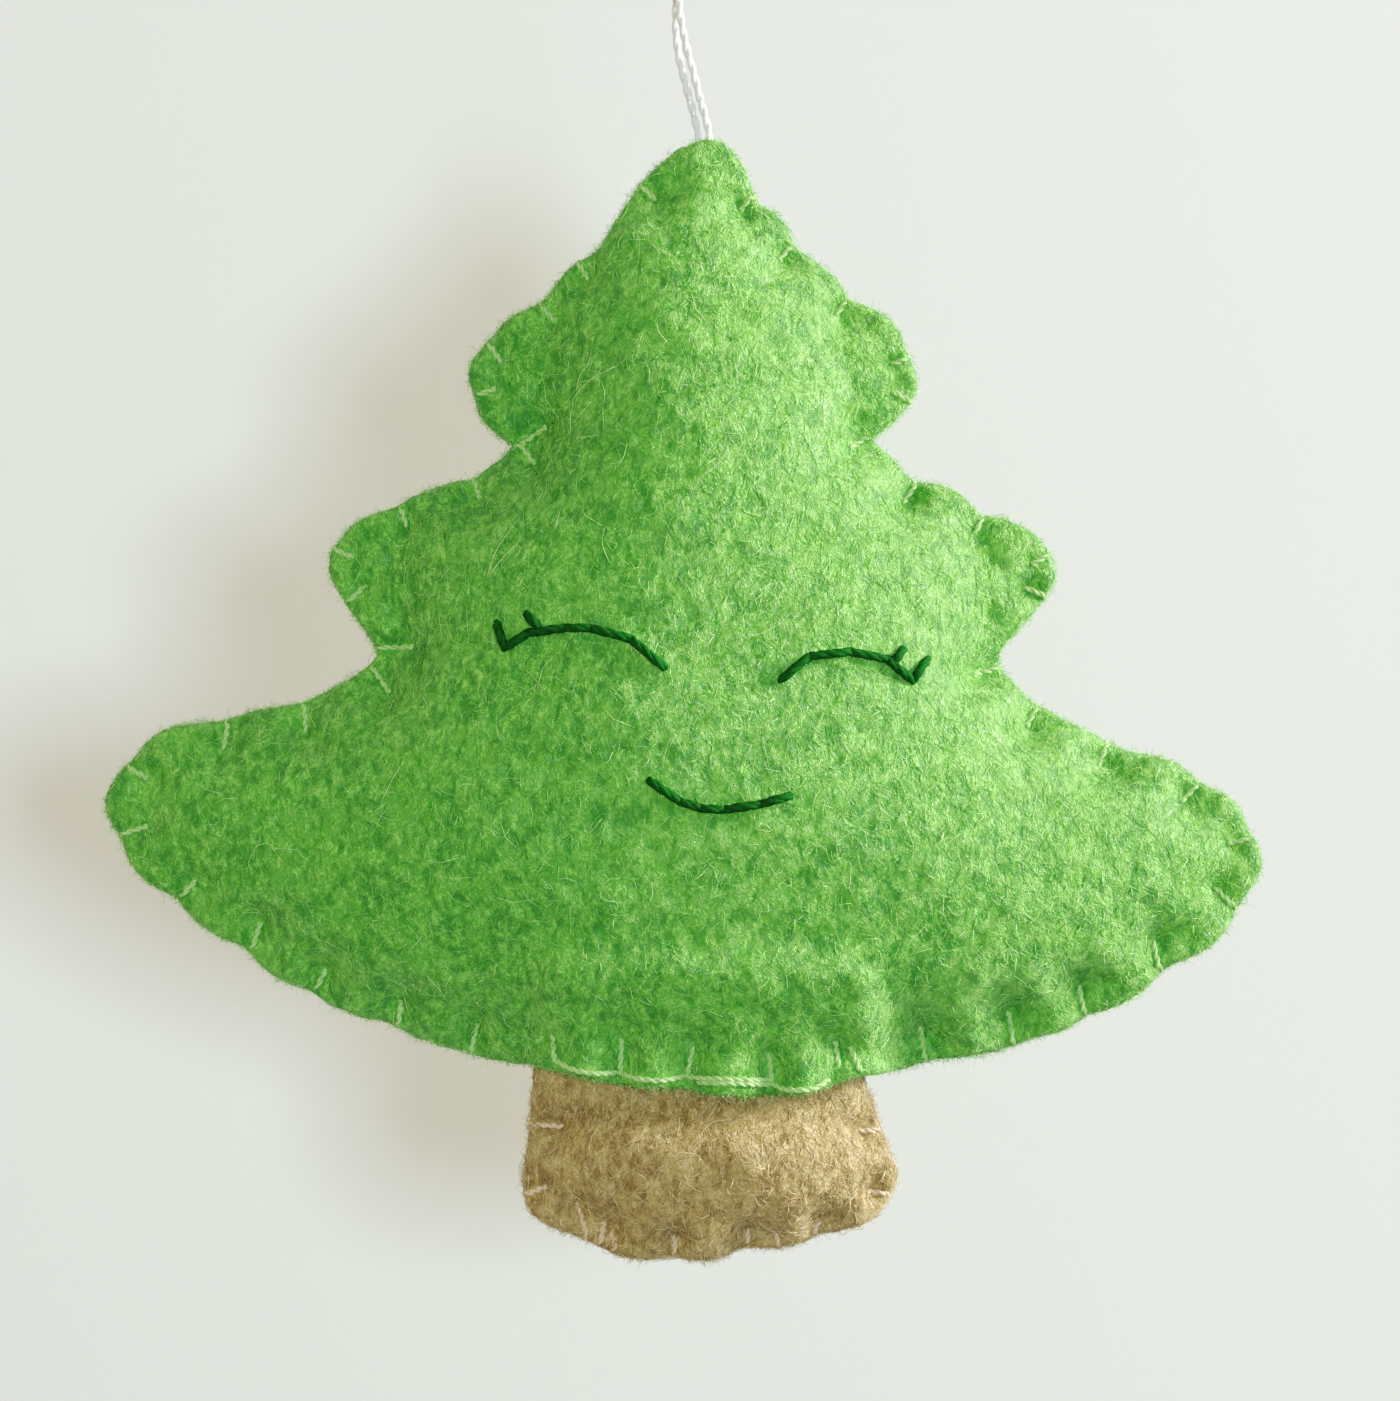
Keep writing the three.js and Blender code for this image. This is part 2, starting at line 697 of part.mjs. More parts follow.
// Finishes
const fibreRoughness = 0.95;
const finish = (color) => new THREE.MeshStandardMaterial({ color, roughness: fibreRoughness });
const greenFelt = finish(0x6cb54c);
const brownFelt = finish(0xb3936a);
const paleGreenThread = finish(0xb4d99a);
const blushThread = finish(0xe0bda4);
const darkGreenFloss = finish(0x0c5a1c);
const whiteThread = finish(0xf2f1ec);
const whiteStuffing = finish(0xf4f2ec);

function addPiece(group, name, geometry, material) {
  geometry.computeVertexNormals();
  const piece = new THREE.Mesh(geometry, material);
  piece.name = name;
  group.add(piece);
}

// The ornament hangs from its tip, which is its own origin.
const ornament = new THREE.Group();
ornament.position.set(tipAcross, 0, -tipDrop);
const anchorSpace = anchorOf(fitGap);
addPiece(ornament, 'tree_front_felt', cutBy(tree.front, anchorSpace), greenFelt);
addPiece(ornament, 'tree_back_felt', cutBy(tree.back, anchorSpace), greenFelt);
addPiece(ornament, 'tree_stuffing', tree.stuffing, whiteStuffing);
addPiece(ornament, 'tree_edge_thread', edgeThread(treeBorder, treeSewing), paleGreenThread);
addPiece(ornament, 'trunk_front_felt', trunk.front, brownFelt);
addPiece(ornament, 'trunk_back_felt', trunk.back, brownFelt);
addPiece(ornament, 'trunk_stuffing', trunk.stuffing, whiteStuffing);
addPiece(ornament, 'trunk_edge_thread', edgeThread(trunkBorder, trunkSewing), blushThread);
Object.entries(faceShares).forEach(([name, shares]) => {
  addPiece(ornament, name, faceLine(shares), darkGreenFloss);
});
addPiece(ornament, 'loop_anchor', anchorOf(0), whiteThread);
addPiece(ornament, 'loop_neck', neckOf(), whiteThread);

const part = new THREE.Group();
part.add(ornament);
const loopPoints = loopRoute.map((point) => new THREE.Vector3(...point));
addPiece(part, 'hanging_loop', thread(loopPoints, loopRadius, loopSides), whiteThread);

export default part;
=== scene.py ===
# A felt christmas ornament: a stuffed green tree with blanket-stitched edges, a stuffed brown
# trunk, a sewn sleeping face and a thread loop. The origin is where the loop rests on its hook.
import math

import bmesh
import bpy
import numpy as np
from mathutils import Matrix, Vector
from mathutils.bvhtree import BVHTree
from mathutils.geometry import delaunay_2d_cdt


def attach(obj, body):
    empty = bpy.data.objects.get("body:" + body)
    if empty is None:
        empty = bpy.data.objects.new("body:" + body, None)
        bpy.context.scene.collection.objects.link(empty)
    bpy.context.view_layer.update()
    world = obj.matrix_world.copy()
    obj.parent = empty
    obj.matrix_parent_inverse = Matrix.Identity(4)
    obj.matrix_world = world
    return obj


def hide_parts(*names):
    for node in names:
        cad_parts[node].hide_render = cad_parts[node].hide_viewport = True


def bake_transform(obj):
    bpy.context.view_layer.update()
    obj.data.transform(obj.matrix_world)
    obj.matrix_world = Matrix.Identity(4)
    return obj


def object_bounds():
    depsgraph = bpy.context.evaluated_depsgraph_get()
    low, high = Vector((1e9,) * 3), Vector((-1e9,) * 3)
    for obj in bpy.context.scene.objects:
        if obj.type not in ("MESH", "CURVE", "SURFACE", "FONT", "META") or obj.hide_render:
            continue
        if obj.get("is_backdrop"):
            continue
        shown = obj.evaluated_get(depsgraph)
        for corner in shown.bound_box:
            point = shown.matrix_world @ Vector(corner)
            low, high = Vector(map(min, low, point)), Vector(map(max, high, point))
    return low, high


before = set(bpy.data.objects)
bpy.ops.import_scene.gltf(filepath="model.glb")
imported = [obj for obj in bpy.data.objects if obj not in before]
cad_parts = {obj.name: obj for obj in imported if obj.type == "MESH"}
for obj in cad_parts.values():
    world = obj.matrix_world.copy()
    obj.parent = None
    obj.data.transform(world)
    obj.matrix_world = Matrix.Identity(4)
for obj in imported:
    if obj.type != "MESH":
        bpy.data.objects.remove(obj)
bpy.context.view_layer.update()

# The camera looks straight at the tree's face from half a metre, as the photograph does.
# Places that were read off the photograph are kept in its pixels and turned to millimetres
# across (x) and up (z) in the plane of the seam.
PIXEL = 0.08
HOOK_ACROSS_PX = 677.5
HOOK_DOWN_PX = -86.0
PHOTO_WIDE = 1400
PHOTO_HIGH = 1401
CAMERA_DISTANCE = 0.5
SENSOR = 36.0
MILLIMETRE = 0.001


def from_photo(points):
    """Millimetres across and up in the plane of the seam, from places in the photograph."""
    px = np.asarray(points, float)
    across = (px[..., 0] - HOOK_ACROSS_PX) * PIXEL
    up = (HOOK_DOWN_PX - px[..., 1]) * PIXEL
    return np.stack([across, up], -1)


middle_point = from_photo([PHOTO_WIDE / 2, PHOTO_HIGH / 2]) * MILLIMETRE
camera = bpy.data.objects.new("camera", bpy.data.cameras.new("camera"))
camera.data.sensor_width = SENSOR
camera.data.lens = SENSOR * CAMERA_DISTANCE / (PHOTO_HIGH * PIXEL * MILLIMETRE)
camera.location = (middle_point[0], -CAMERA_DISTANCE, middle_point[1])
camera.rotation_euler = (math.pi / 2, 0, 0)
bpy.context.scene.collection.objects.link(camera)
bpy.context.scene.camera = camera
# The picture's tones: a phone's contrast, with a soft shoulder that keeps the pale wall whole.
seen_as = bpy.context.scene.view_settings
seen_as.view_transform = "Standard"
seen_as.use_curve_mapping = True
tones = seen_as.curve_mapping
TONE_TOP = 2.0
tones.white_level = (TONE_TOP, TONE_TOP, TONE_TOP)
TONES = [(0.04, 0.02), (0.1, 0.074), (0.2, 0.19), (0.3, 0.298), (0.5, 0.474), (0.7, 0.61),
         (0.86, 0.71), (1.0, 0.8), (1.12, 0.86), (1.3, 0.925), (1.6, 0.975)]
for light, shown in TONES:
    tones.curves[3].points.new(light / TONE_TOP, shown)
tones.update()

# The hanging loop is one limp white thread of two plies. It leaves the tip as two strands, the
# brighter one in front, runs up out of view and turns round its hook. One smooth path holds it
# all, from the knot inside the tip over the hook and back, and is cut where the thread bends.
LOOP_DIAMETER = 0.66
LOOP_TWIST = 2.6
LOOP_BULK = 0.34
LOOP_FREE = [
    (0.98, 0.05, -14.9), (0.67, 0.15, -13.7), (0.36, 0.25, -12.5), (0.1, 0.34, -11.3),
    (-0.1, 0.42, -9.7), (-0.14, 0.48, -8.1), (-0.12, 0.55, -6.9), (-0.08, 0.75, -5.2),
    (-0.03, 1.02, -3.4), (0, 1.2, -0.93), (0, 0.85, -0.08), (0, 0, 0.28),
    (0, -0.85, -0.08), (0, -1.2, -0.93), (0, -1.02, -3.4), (0.05, -0.75, -5.2),
    (0.12, -0.55, -6.9), (0.2, -0.46, -8.1), (0.68, -0.35, -10.56), (1.16, -0.22, -12.32),
    (1.56, -0.12, -13.84), (1.83, -0.05, -14.9),
]
LOOP_LEFT_FOOT = [(1.7, 0.15, -17.9), (1.49, 0.13, -16.9), (1.25, 0.09, -15.9)]
LOOP_RIGHT_FOOT = [(2.12, -0.1, -15.9), (2.38, -0.16, -16.9), (2.56, -0.2, -17.9)]
LOOP_LEFT_TAIL = [(1.7, 0, -27.2), (1.75, 0.02, -22.5), (1.8, 0.1, -19.6)]
LOOP_RIGHT_TAIL = [(2.68, -0.12, -19.6), (2.64, -0.02, -22.5), (2.6, 0, -27.2)]
CURVE_SAMPLES = 12
TWIST_STEPS = 12
PLY_TIP = 0.45
SKEW = (0.31, 0.87, 0.38)


def lengths_along(path):
    """How far along the path each of its points lies."""
    return np.concatenate([[0], np.cumsum(np.linalg.norm(np.diff(path, axis=0), axis=1))])


def unit(vectors):
    """The same directions with a length of one."""
    return vectors / np.linalg.norm(vectors, axis=-1, keepdims=True)


def smooth_path(points, step):
    """Points every step along the smooth curve that runs through the given ones."""
    p = np.asarray(points, float)
    ahead = 2 * p[0] - p[1]
    behind = 2 * p[-1] - p[-2]
    p = np.vstack([ahead, p, behind])
    t = np.linspace(0, 1, CURVE_SAMPLES + 1)[:-1, None]
    runs = []
    for a, b, c, d in zip(p, p[1:], p[2:], p[3:]):
        runs.append(0.5 * (2 * b + (c - a) * t + (2 * a - 5 * b + 4 * c - d) * t * t
                           + (3 * b - 3 * c + d - a) * t ** 3))
    fine = np.vstack(runs + [p[-2]])
    along = lengths_along(fine)
    count = max(int(round(along[-1] / step)), 2)
    at = np.linspace(0, along[-1], count + 1)
    return np.stack([np.interp(at, along, fine[:, k]) for k in range(fine.shape[1])], -1)


def carried_frames(path):
    """A direction across the path at each point, carried along it without turning."""
    along = unit(np.gradient(path, axis=0))
    across = [unit(np.cross(along[0], SKEW))]
    for direction in along[1:]:
        across.append(unit(across[-1] - direction * (across[-1] @ direction)))
    across = np.array(across)
    return across, np.cross(along, across)


def tube(path, radii, sides):
    """A closed tube round a path, as points and faces."""
    across, up = carried_frames(path)
    turn = np.linspace(0, 2 * np.pi, sides, endpoint=False)
    ring = across[:, None] * np.cos(turn)[:, None] + up[:, None] * np.sin(turn)[:, None]
    points = (path[:, None] + ring * np.asarray(radii)[:, None, None]).reshape(-1, 3)
    faces = []
    for row in range(len(path) - 1):
        for side in range(sides):
            a = row * sides + side
            b = row * sides + (side + 1) % sides
            faces.append((a, b, b + sides, a + sides))
    last = (len(path) - 1) * sides
    faces.append(tuple(range(sides))[::-1])
    faces.append(tuple(last + side for side in range(sides)))
    return points, faces


def twisted(path, diameter, lay, plies, bulk=0.3, sides=6, start=0.0, tapered=(True, True)):
    """The plies of a twisted thread that follows the path, as (points, faces) each."""
    across, up = carried_frames(path)
    along = lengths_along(path)
    ply_radius = diameter * bulk
    offset = diameter / 2 - ply_radius
    radii = np.full(len(path), ply_radius)
    for end, thinner in zip((0, -1), tapered):
        radii[end] *= PLY_TIP if thinner else 1
    made = []
    for ply in range(plies):
        angle = 2 * np.pi * ((along + start) / lay + ply / plies)
        centre = path + offset * (across * np.cos(angle)[:, None] + up * np.sin(angle)[:, None])
        made.append(tube(centre, radii, sides))
    return made


def new_piece(name, parts, material, smooth=True):
    """One mesh object from a list of (points in millimetres, faces)."""
    points, faces, count = [], [], 0
    for some, lists in parts:
        points.append(np.asarray(some, float))
        faces.extend([tuple(int(i) + count for i in face) for face in lists])
        count += len(some)
    mesh = bpy.data.meshes.new(name)
    mesh.from_pydata((np.vstack(points) * MILLIMETRE).tolist(), [], faces)
    if smooth:
        mesh.polygons.foreach_set("use_smooth", np.ones(len(faces), bool))
    mesh.materials.append(material)
    mesh.update()
    piece = bpy.data.objects.new(name, mesh)
    bpy.context.scene.collection.objects.link(piece)
    return piece


def new_material(name):
    """A material with an empty Principled shader, and its node tree."""
    material = bpy.data.materials.new(name)
    material.use_nodes = True
    nodes = material.node_tree.nodes
    return material, nodes, material.node_tree.links, nodes["Principled BSDF"]


def add_node(nodes, kind, **values):
    """A node of that kind with its properties and plain inputs set."""
    node = nodes.new(kind)
    for name, value in values.items():
        if hasattr(node, name):
            setattr(node, name, value)
        else:
            node.inputs[name.replace("_", " ")].default_value = value
    return node


def wire(links, *wires):
    """Links, each given as a node, its output, the node that it feeds and the input there."""
    for source, output, target, entry in wires:
        links.new(source.outputs[output], target.inputs[entry])


def new_group(name, inputs, outputs):
    """An empty shader node group with those sockets, given as name to (kind, start value)."""
    group = bpy.data.node_groups.new(name, "ShaderNodeTree")
    for socket, (kind, value) in inputs.items():
        made = group.interface.new_socket(socket, in_out="INPUT", socket_type=kind)
        made.default_value = value
    for socket, kind in outputs.items():
        group.interface.new_socket(socket, in_out="OUTPUT", socket_type=kind)
    nodes = group.nodes
    return group, nodes, group.links, nodes.new("NodeGroupInput"), nodes.new("NodeGroupOutput")


# Spun thread, for every thread on the ornament: fine fibres that run along it break up its
# colour, its roughness and its surface, and a few stand out paler.
thread_look, nodes, links, given, made = new_group(
    "spun_fibres",
    {"Deep": ("NodeSocketColor", (0.4, 0.4, 0.4, 1)), "Pale": ("NodeSocketColor", (1, 1, 1, 1)),
     "Fineness": ("NodeSocketFloat", 6000.0)},
    {"Color": "NodeSocketColor", "Height": "NodeSocketFloat", "Roughness": "NodeSocketFloat"},
)
place = add_node(nodes, "ShaderNodeTexCoord")
fibres = add_node(nodes, "ShaderNodeTexNoise", Detail=3.0, Roughness=0.6, Distortion=0.8)
tone = add_node(nodes, "ShaderNodeTexNoise", Scale=420.0, Detail=2.0)
spread = add_node(nodes, "ShaderNodeMath", operation="MULTIPLY_ADD")
spread.inputs[1].default_value = 0.45
share = add_node(nodes, "ShaderNodeMapRange", From_Min=0.42, From_Max=0.98)
blend = add_node(nodes, "ShaderNodeMix", data_type="RGBA")
rough = add_node(nodes, "ShaderNodeMapRange", To_Min=0.6, To_Max=0.95)
wire(links, (place, "Object", fibres, "Vector"), (place, "Object", tone, "Vector"),
     (given, "Fineness", fibres, "Scale"), (tone, "Fac", spread, 0), (fibres, "Fac", spread, 2),
     (spread, 0, share, "Value"), (share, 0, blend, 0), (given, "Deep", blend, 6),
     (given, "Pale", blend, 7), (fibres, "Fac", rough, "Value"), (blend, 2, made, "Color"),
     (fibres, "Fac", made, "Height"), (rough, 0, made, "Roughness"))


def finish_with(look_group, nodes, links, shader, strength, distance, **values):
    """A group's colour, roughness and height put on a material's shader."""
    look = add_node(nodes, "ShaderNodeGroup", node_tree=look_group, **values)
    bump = add_node(nodes, "ShaderNodeBump", Strength=strength, Distance=distance)
    wire(links, (look, "Color", shader, "Base Color"), (look, "Roughness", shader, "Roughness"),
         (look, "Height", bump, "Height"), (bump, "Normal", shader, "Normal"))


def thread_material(name, deep, pale, sheen, fineness=6000.0):
    """A thread's finish: spun fibres with a soft sheen."""
    material, nodes, links, shader = new_material(name)
    finish_with(thread_look, nodes, links, shader, 0.6, 0.00006,
                Deep=(*deep, 1), Pale=(*pale, 1), Fineness=fineness)
    shader.inputs["Specular IOR Level"].default_value = 0.2
    shader.inputs["Sheen Weight"].default_value = sheen
    shader.inputs["Sheen Roughness"].default_value = 0.4
    return material


LOOP_STEP = LOOP_TWIST / TWIST_STEPS
loop_white = thread_material("loop_white", (0.72, 0.72, 0.68), (0.95, 0.95, 0.92), 0.3)
loop_route = LOOP_LEFT_TAIL + LOOP_LEFT_FOOT + LOOP_FREE + LOOP_RIGHT_FOOT + LOOP_RIGHT_TAIL
loop_path = smooth_path(loop_route, LOOP_STEP)


def nearest(path, point):
    """The number of the path's point that lies nearest."""
    return int(np.argmin(np.linalg.norm(path - np.asarray(point), axis=1)))


def loop_stretch(first, last, tapered):
    """The plies of the loop's thread between two of its path's points."""
    return twisted(loop_path[first:last + 1], LOOP_DIAMETER, LOOP_TWIST, 2, LOOP_BULK, 8,
                   first * LOOP_STEP, tapered)


LOOP_CUT = -16.4
free_from = nearest(loop_path, LOOP_FREE[0])
free_to = nearest(loop_path, LOOP_FREE[-1])
low = loop_path[:, 2] < LOOP_CUT
left_cut = int(np.argmin(low))
right_cut = len(low) - 1 - int(np.argmin(low[::-1]))
loop_thread = new_piece(
    "hanging_loop_thread", loop_stretch(free_from, free_to, (False, False)), loop_white)
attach(loop_thread, "loop")
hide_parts("hanging_loop")

# Below its free part the loop bends where it enters the tip, so its last millimetres are two
# pieces, and the lower one holds the tails that the knot stops inside.
bend = new_piece(
    "loop_bend_thread",
    loop_stretch(left_cut, free_from, (False, False))
    + loop_stretch(free_to, right_cut, (False, False)),
    loop_white)
tails = new_piece(
    "loop_tail_thread",
    loop_stretch(0, left_cut, (True, False))
    + loop_stretch(right_cut, len(loop_path) - 1, (False, True)),
    loop_white)
for piece, node in ((bend, "loop_neck"), (tails, "loop_anchor")):
    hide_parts(node)
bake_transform(bend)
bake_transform(tails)

# The tree is two sheets of soft wool felt, a bit over a millimetre thick, cut alike and stuffed.
# Its cut edge was read off the photograph from the tip down the left side and back up the
# right, in five runs that meet at the tip and in the corners between the tiers.
TREE_RUNS_PX = [
    [(705, 141.5), (688, 150), (663, 166), (640, 189), (623, 216), (598, 254), (575, 268),
     (560, 285), (548, 303), (530, 311.5), (510, 321.5), (498, 335), (490, 346), (478, 358),
     (472, 370), (473, 383), (479, 396), (481.5, 413), (495, 428), (518, 446)],
    [(518, 446), (506, 459), (490, 472), (475, 482), (457, 486), (448, 488), (416, 499),
     (400, 510), (371, 519), (354, 527.5), (343, 542), (334, 552.5), (332, 565), (338, 583),
     (346, 597), (355, 611), (370, 633), (379, 647), (381, 660)],
    [(381, 660), (368, 672), (345, 685), (327, 695), (304, 706), (282, 710), (257, 713),
     (229, 723), (199, 725.5), (171, 731), (150, 745), (136.5, 761), (122, 774), (114, 787),
     (108.5, 804), (113, 820), (122, 833), (126.5, 844), (133, 861), (146, 876), (166, 889),
     (181, 895.5), (190, 910), (219, 934), (247, 944), (267, 967), (288, 979), (318, 990),
     (339, 1005), (372, 1016), (390, 1019), (415, 1033.5), (441, 1041), (466, 1049),
     (489, 1055), (517, 1060), (538, 1061), (564, 1067), (602, 1075), (640, 1080),
     (679, 1082), (717, 1088), (755, 1090), (793, 1088), (826.5, 1080), (857, 1070),
     (900, 1066), (931, 1056.5), (961, 1054), (996, 1048), (1031, 1036), (1063, 1027),
     (1084, 1012), (1104, 1007), (1137, 992), (1151, 977), (1166, 963), (1190, 954),
     (1207, 945), (1225, 927), (1231, 910), (1242, 895), (1254, 878), (1257.5, 868),
     (1256, 849), (1245, 833), (1237, 811), (1224, 798), (1197, 785), (1181, 771),
     (1160, 760.5), (1127.5, 755), (1101, 742), (1069, 726), (1034, 707), (1018, 694),
     (999, 672), (995, 657)],
    [(995, 657), (998, 647), (1009, 636), (1023, 621), (1036, 604), (1046, 593), (1051, 581),
     (1051.6, 564), (1044, 553), (1036, 541), (1021, 530), (1004, 522), (986, 520),
     (976, 517), (965, 505), (952, 493), (932, 487), (909, 484), (901, 474), (891, 462),
     (876, 450), (867.5, 439)],
    [(867.5, 439), (876, 432), (887, 425), (898, 412), (909, 400), (913, 389), (914, 376),
     (909, 366), (903, 355), (900, 341), (891, 326), (876, 315), (860, 307), (846, 303),
     (841, 292.5), (832, 280), (809, 262), (792, 250), (788, 237), (774, 216), (759, 210),
     (753, 201), (742, 174), (728, 151), (717, 145), (705, 141.5)],
]
# Each blanket stitch as seen on the front: where it leaves the edge and where it goes in.
TREE_STITCHES_PX = [
    (640, 188, 655, 200), (576, 267, 588, 279), (546, 305, 554, 321), (491, 350, 501, 362),
    (481, 394, 495, 389.5), (518, 443, 546, 428), (530, 456, 534.5, 464), (477, 483, 480, 498),
    (403, 511, 407, 526), (338, 547, 352, 557), (352, 597, 366, 586), (385, 648, 414, 647),
    (377, 672, 390, 692), (303, 711, 307, 731), (223.5, 727, 225, 748), (137, 767, 148, 778),
    (125, 836, 148, 826), (183, 896, 196, 881), (253, 945, 261, 923), (317, 988, 326, 970),
    (396, 1018, 402, 1000), (470, 1048, 478, 1023), (556, 1063, 554, 1033),
    (619, 1076, 622, 1036), (686, 1082, 693, 1044), (770, 1088, 768, 1052),
    (836, 1076, 834, 1039), (857, 1069, 849, 1044), (923, 1058, 920, 1027),
    (1008, 1043, 1008, 1012), (1084, 1012, 1078, 986), (1161, 965, 1152, 942),
    (1232, 905, 1215, 888), (1245, 835, 1228, 843), (1196, 785, 1181, 801),
    (1109, 747, 1098, 766), (1036, 710, 1026, 726), (995, 667, 973, 675),
    (1039, 598, 1026, 588), (1044, 555, 1032, 564), (983, 519, 974, 534),
    (911, 484, 903, 503), (867.5, 442, 850, 448), (903, 403, 893, 392.5), (904, 358, 893, 364),
    (844, 303, 836, 316), (790, 249, 779, 261), (752, 202, 741, 211),
]
# The tips of the upper tiers hardly take any filling: outside these lines the two sheets nearly
# meet, and the padded body starts at a crease.
TREE_TIPS_PX = [
    [(552, 300), (554, 322), (549, 365), (545, 405), (519, 446), (440, 446), (440, 300)],
    [(402, 505), (407, 530), (409, 590), (413, 640), (381, 662), (300, 662), (300, 505)],
    [(838, 298), (837, 322), (845, 370), (849, 415), (867, 441), (950, 441), (950, 298)],
    [(977, 512), (975, 536), (984, 590), (978, 640), (995, 659), (1100, 659), (1100, 512)],
]
# Hollows in the front that no stitch explains: where each is, how far it reaches and how deep.
TREE_HOLLOWS_PX = [
    (533, 418, 15, 1.2), (541, 385, 12, 0.7), (857, 423, 12, 1.7), (849, 385, 10, 0.7),
    (398, 560, 12, 0.7), (402, 610, 14, 0.8), (990, 560, 12, 0.8), (986, 615, 14, 0.9),
    (676, 192, 14, 1.0), (746, 210, 12, 1.4), (795, 262, 13, 1.2), (850, 325, 12, 0.9),
    (912, 500, 14, 1.0), (985, 540, 12, 0.8), (1034, 730, 16, 0.9), (1122, 770, 20, 1.0),
    (1192, 812, 16, 0.9), (1236, 884, 14, 1.0), (1176, 940, 20, 1.3), (1100, 986, 18, 1.4),
    (1026, 1016, 20, 1.4), (938, 1042, 18, 1.2), (872, 1050, 12, 1.0), (631, 1050, 10, 0.9),
    (566, 1044, 10, 0.9), (698, 1058, 10, 0.9), (781, 1064, 10, 0.9), (846, 1050, 9, 0.9),
    (160, 790, 14, 0.7), (266, 930, 14, 0.7), (330, 975, 14, 0.7), (214, 884, 14, 0.5),
    (729, 177, 9, 0.6), (898, 384, 7, 0.6), (492, 372, 8, 0.4), (1040, 578, 8, 0.5),
]
# Each stitch draws the felt in by a share, over a reach; the sheets are a little uneven, by a
# share that changes over a size. The front and the back each have a seed for it.
TREE_CROWN = 9.0
TREE_DRAWN_IN = (0.55, 2.0)
TREE_UNEVEN = (0.03, 21.0)
TREE_SEEDS = (11, 23)
TIP_FILL = 0.5
SOFT_START = 0.2
FELT = 1.2
SEAM_GAP = 0.12
FELT_NET = 0.9
FIELD_STEP = 0.4
FIELD_MARGIN = 2.0
FIELD_ROUNDS = 420
FIELD_PUSH = 1.93
TREE_HELD = 0.45
STITCH_PINCH = 0.35
TREE_PINCH_REACH = 0.9


def cut_edge(runs_px, spacing):
    """The cut edge of a felt piece, as evenly spaced points in millimetres."""
    edge = []
    for run in runs_px:
        edge.append(smooth_path(from_photo(run), spacing)[:-1])
    return np.vstack(edge)


def inside_edge(edge, points):
    """Whether each point lies inside the closed edge."""
    inside = np.zeros(len(points), bool)
    for a, b in zip(edge, np.roll(edge, -1, axis=0)):
        if a[1] == b[1]:
            continue
        crosses = (a[1] > points[:, 1]) != (b[1] > points[:, 1])
        at = a[0] + (points[:, 1] - a[1]) / (b[1] - a[1]) * (b[0] - a[0])
        inside ^= crosses & (points[:, 0] < at)
    return inside


def distance_to(starts, ends, points):
    """The distance from each point to the nearest of the straight lines given."""
    least = np.full(len(points), np.inf)
    for a, b in zip(starts, ends):
        along = b - a
        share = np.clip((points - a) @ along / (along @ along), 0, 1)
        least = np.minimum(least, np.linalg.norm(points - a - share[:, None] * along, axis=1))
    return least


class Field:
    """Values on a square grid over a flat piece, read anywhere in between."""

    def __init__(self, edge):
        self.low = edge.min(0) - FIELD_MARGIN
        reach = edge.max(0) + FIELD_MARGIN - self.low
        self.shape = tuple(np.ceil(reach / FIELD_STEP).astype(int) + 1)
        grid = np.stack(np.meshgrid(*map(np.arange, self.shape), indexing="ij"), -1)
        self.places = self.low + grid.reshape(-1, 2) * FIELD_STEP
        self.values = np.zeros(self.shape)

    def __call__(self, points):
        """The field's values at the points, blended between the grid's own."""
        at = np.clip((points - self.low) / FIELD_STEP, 0, np.array(self.shape) - 1.001)
        cell = at.astype(int)
        x, y = (at - cell).T
        i, j = cell.T
        v = self.values
        return ((v[i, j] * (1 - x) + v[i + 1, j] * x) * (1 - y)
                + (v[i, j + 1] * (1 - x) + v[i + 1, j + 1] * x) * y)

    def soften(self, rounds):
        """Each round spreads every value a little over its neighbours."""
        for _ in range(rounds):
            for axis in (0, 1):
                self.values = (np.roll(self.values, 1, axis) + 2 * self.values
                               + np.roll(self.values, -1, axis)) / 4


def pressed_skin(edge, stitches, held, tips=()):
    """How far stuffing lifts a skin that is held along its edge and its stitches, from 0 to 1."""
    field = Field(edge)
    near = distance_to(*stitches.transpose(1, 0, 2), field.places)
    free = inside_edge(edge, field.places) & (near > held)
    for tip in tips:
        free &= ~inside_edge(from_photo(tip), field.places)
    free = free.reshape(field.shape)
    odd = np.add.outer(*map(np.arange, field.shape)) % 2 == 1
    level = field.values
    for _ in range(FIELD_ROUNDS):
        for turn in (free & odd, free & ~odd):
            around = (np.roll(level, 1, 0) + np.roll(level, -1, 0)
                      + np.roll(level, 1, 1) + np.roll(level, -1, 1) + 1) / 4
            level[turn] += FIELD_PUSH * (around[turn] - level[turn])
    rise = np.hypot(np.sqrt(level / level.max()), SOFT_START) - SOFT_START
    field.values = rise / (math.hypot(1, SOFT_START) - SOFT_START)
    field.soften(2)
    return field


def ramp(low, high, value):
    """A soft step, from 0 at the low value to 1 at the high one."""
    t = np.clip((value - low) / (high - low), 0, 1)
    return t * t * (3 - 2 * t)


LUMP_WAVES = 14


def lumps(points, size, seed):
    """Smooth random values between about -1 and 1 that change over that size, in any place."""
    rng = np.random.default_rng(seed)
    total = np.zeros(len(points))
    for _ in range(LUMP_WAVES):
        direction = rng.normal(size=points.shape[1])
        direction *= 2 * np.pi / size * rng.uniform(0.6, 1.5) / np.linalg.norm(direction)
        total += np.sin(points @ direction + rng.uniform(0, 2 * np.pi))
    return total / math.sqrt(LUMP_WAVES)


# The net's points keep clear of each other, in shares of its spacing: the stitches' points from
# the edge, and the grid's from the edge and from the stitches' points.
NET_CLEAR = (0.45, 0.62, 0.55)
ALONG_STITCH = (0.3, 0.65, 1.0)


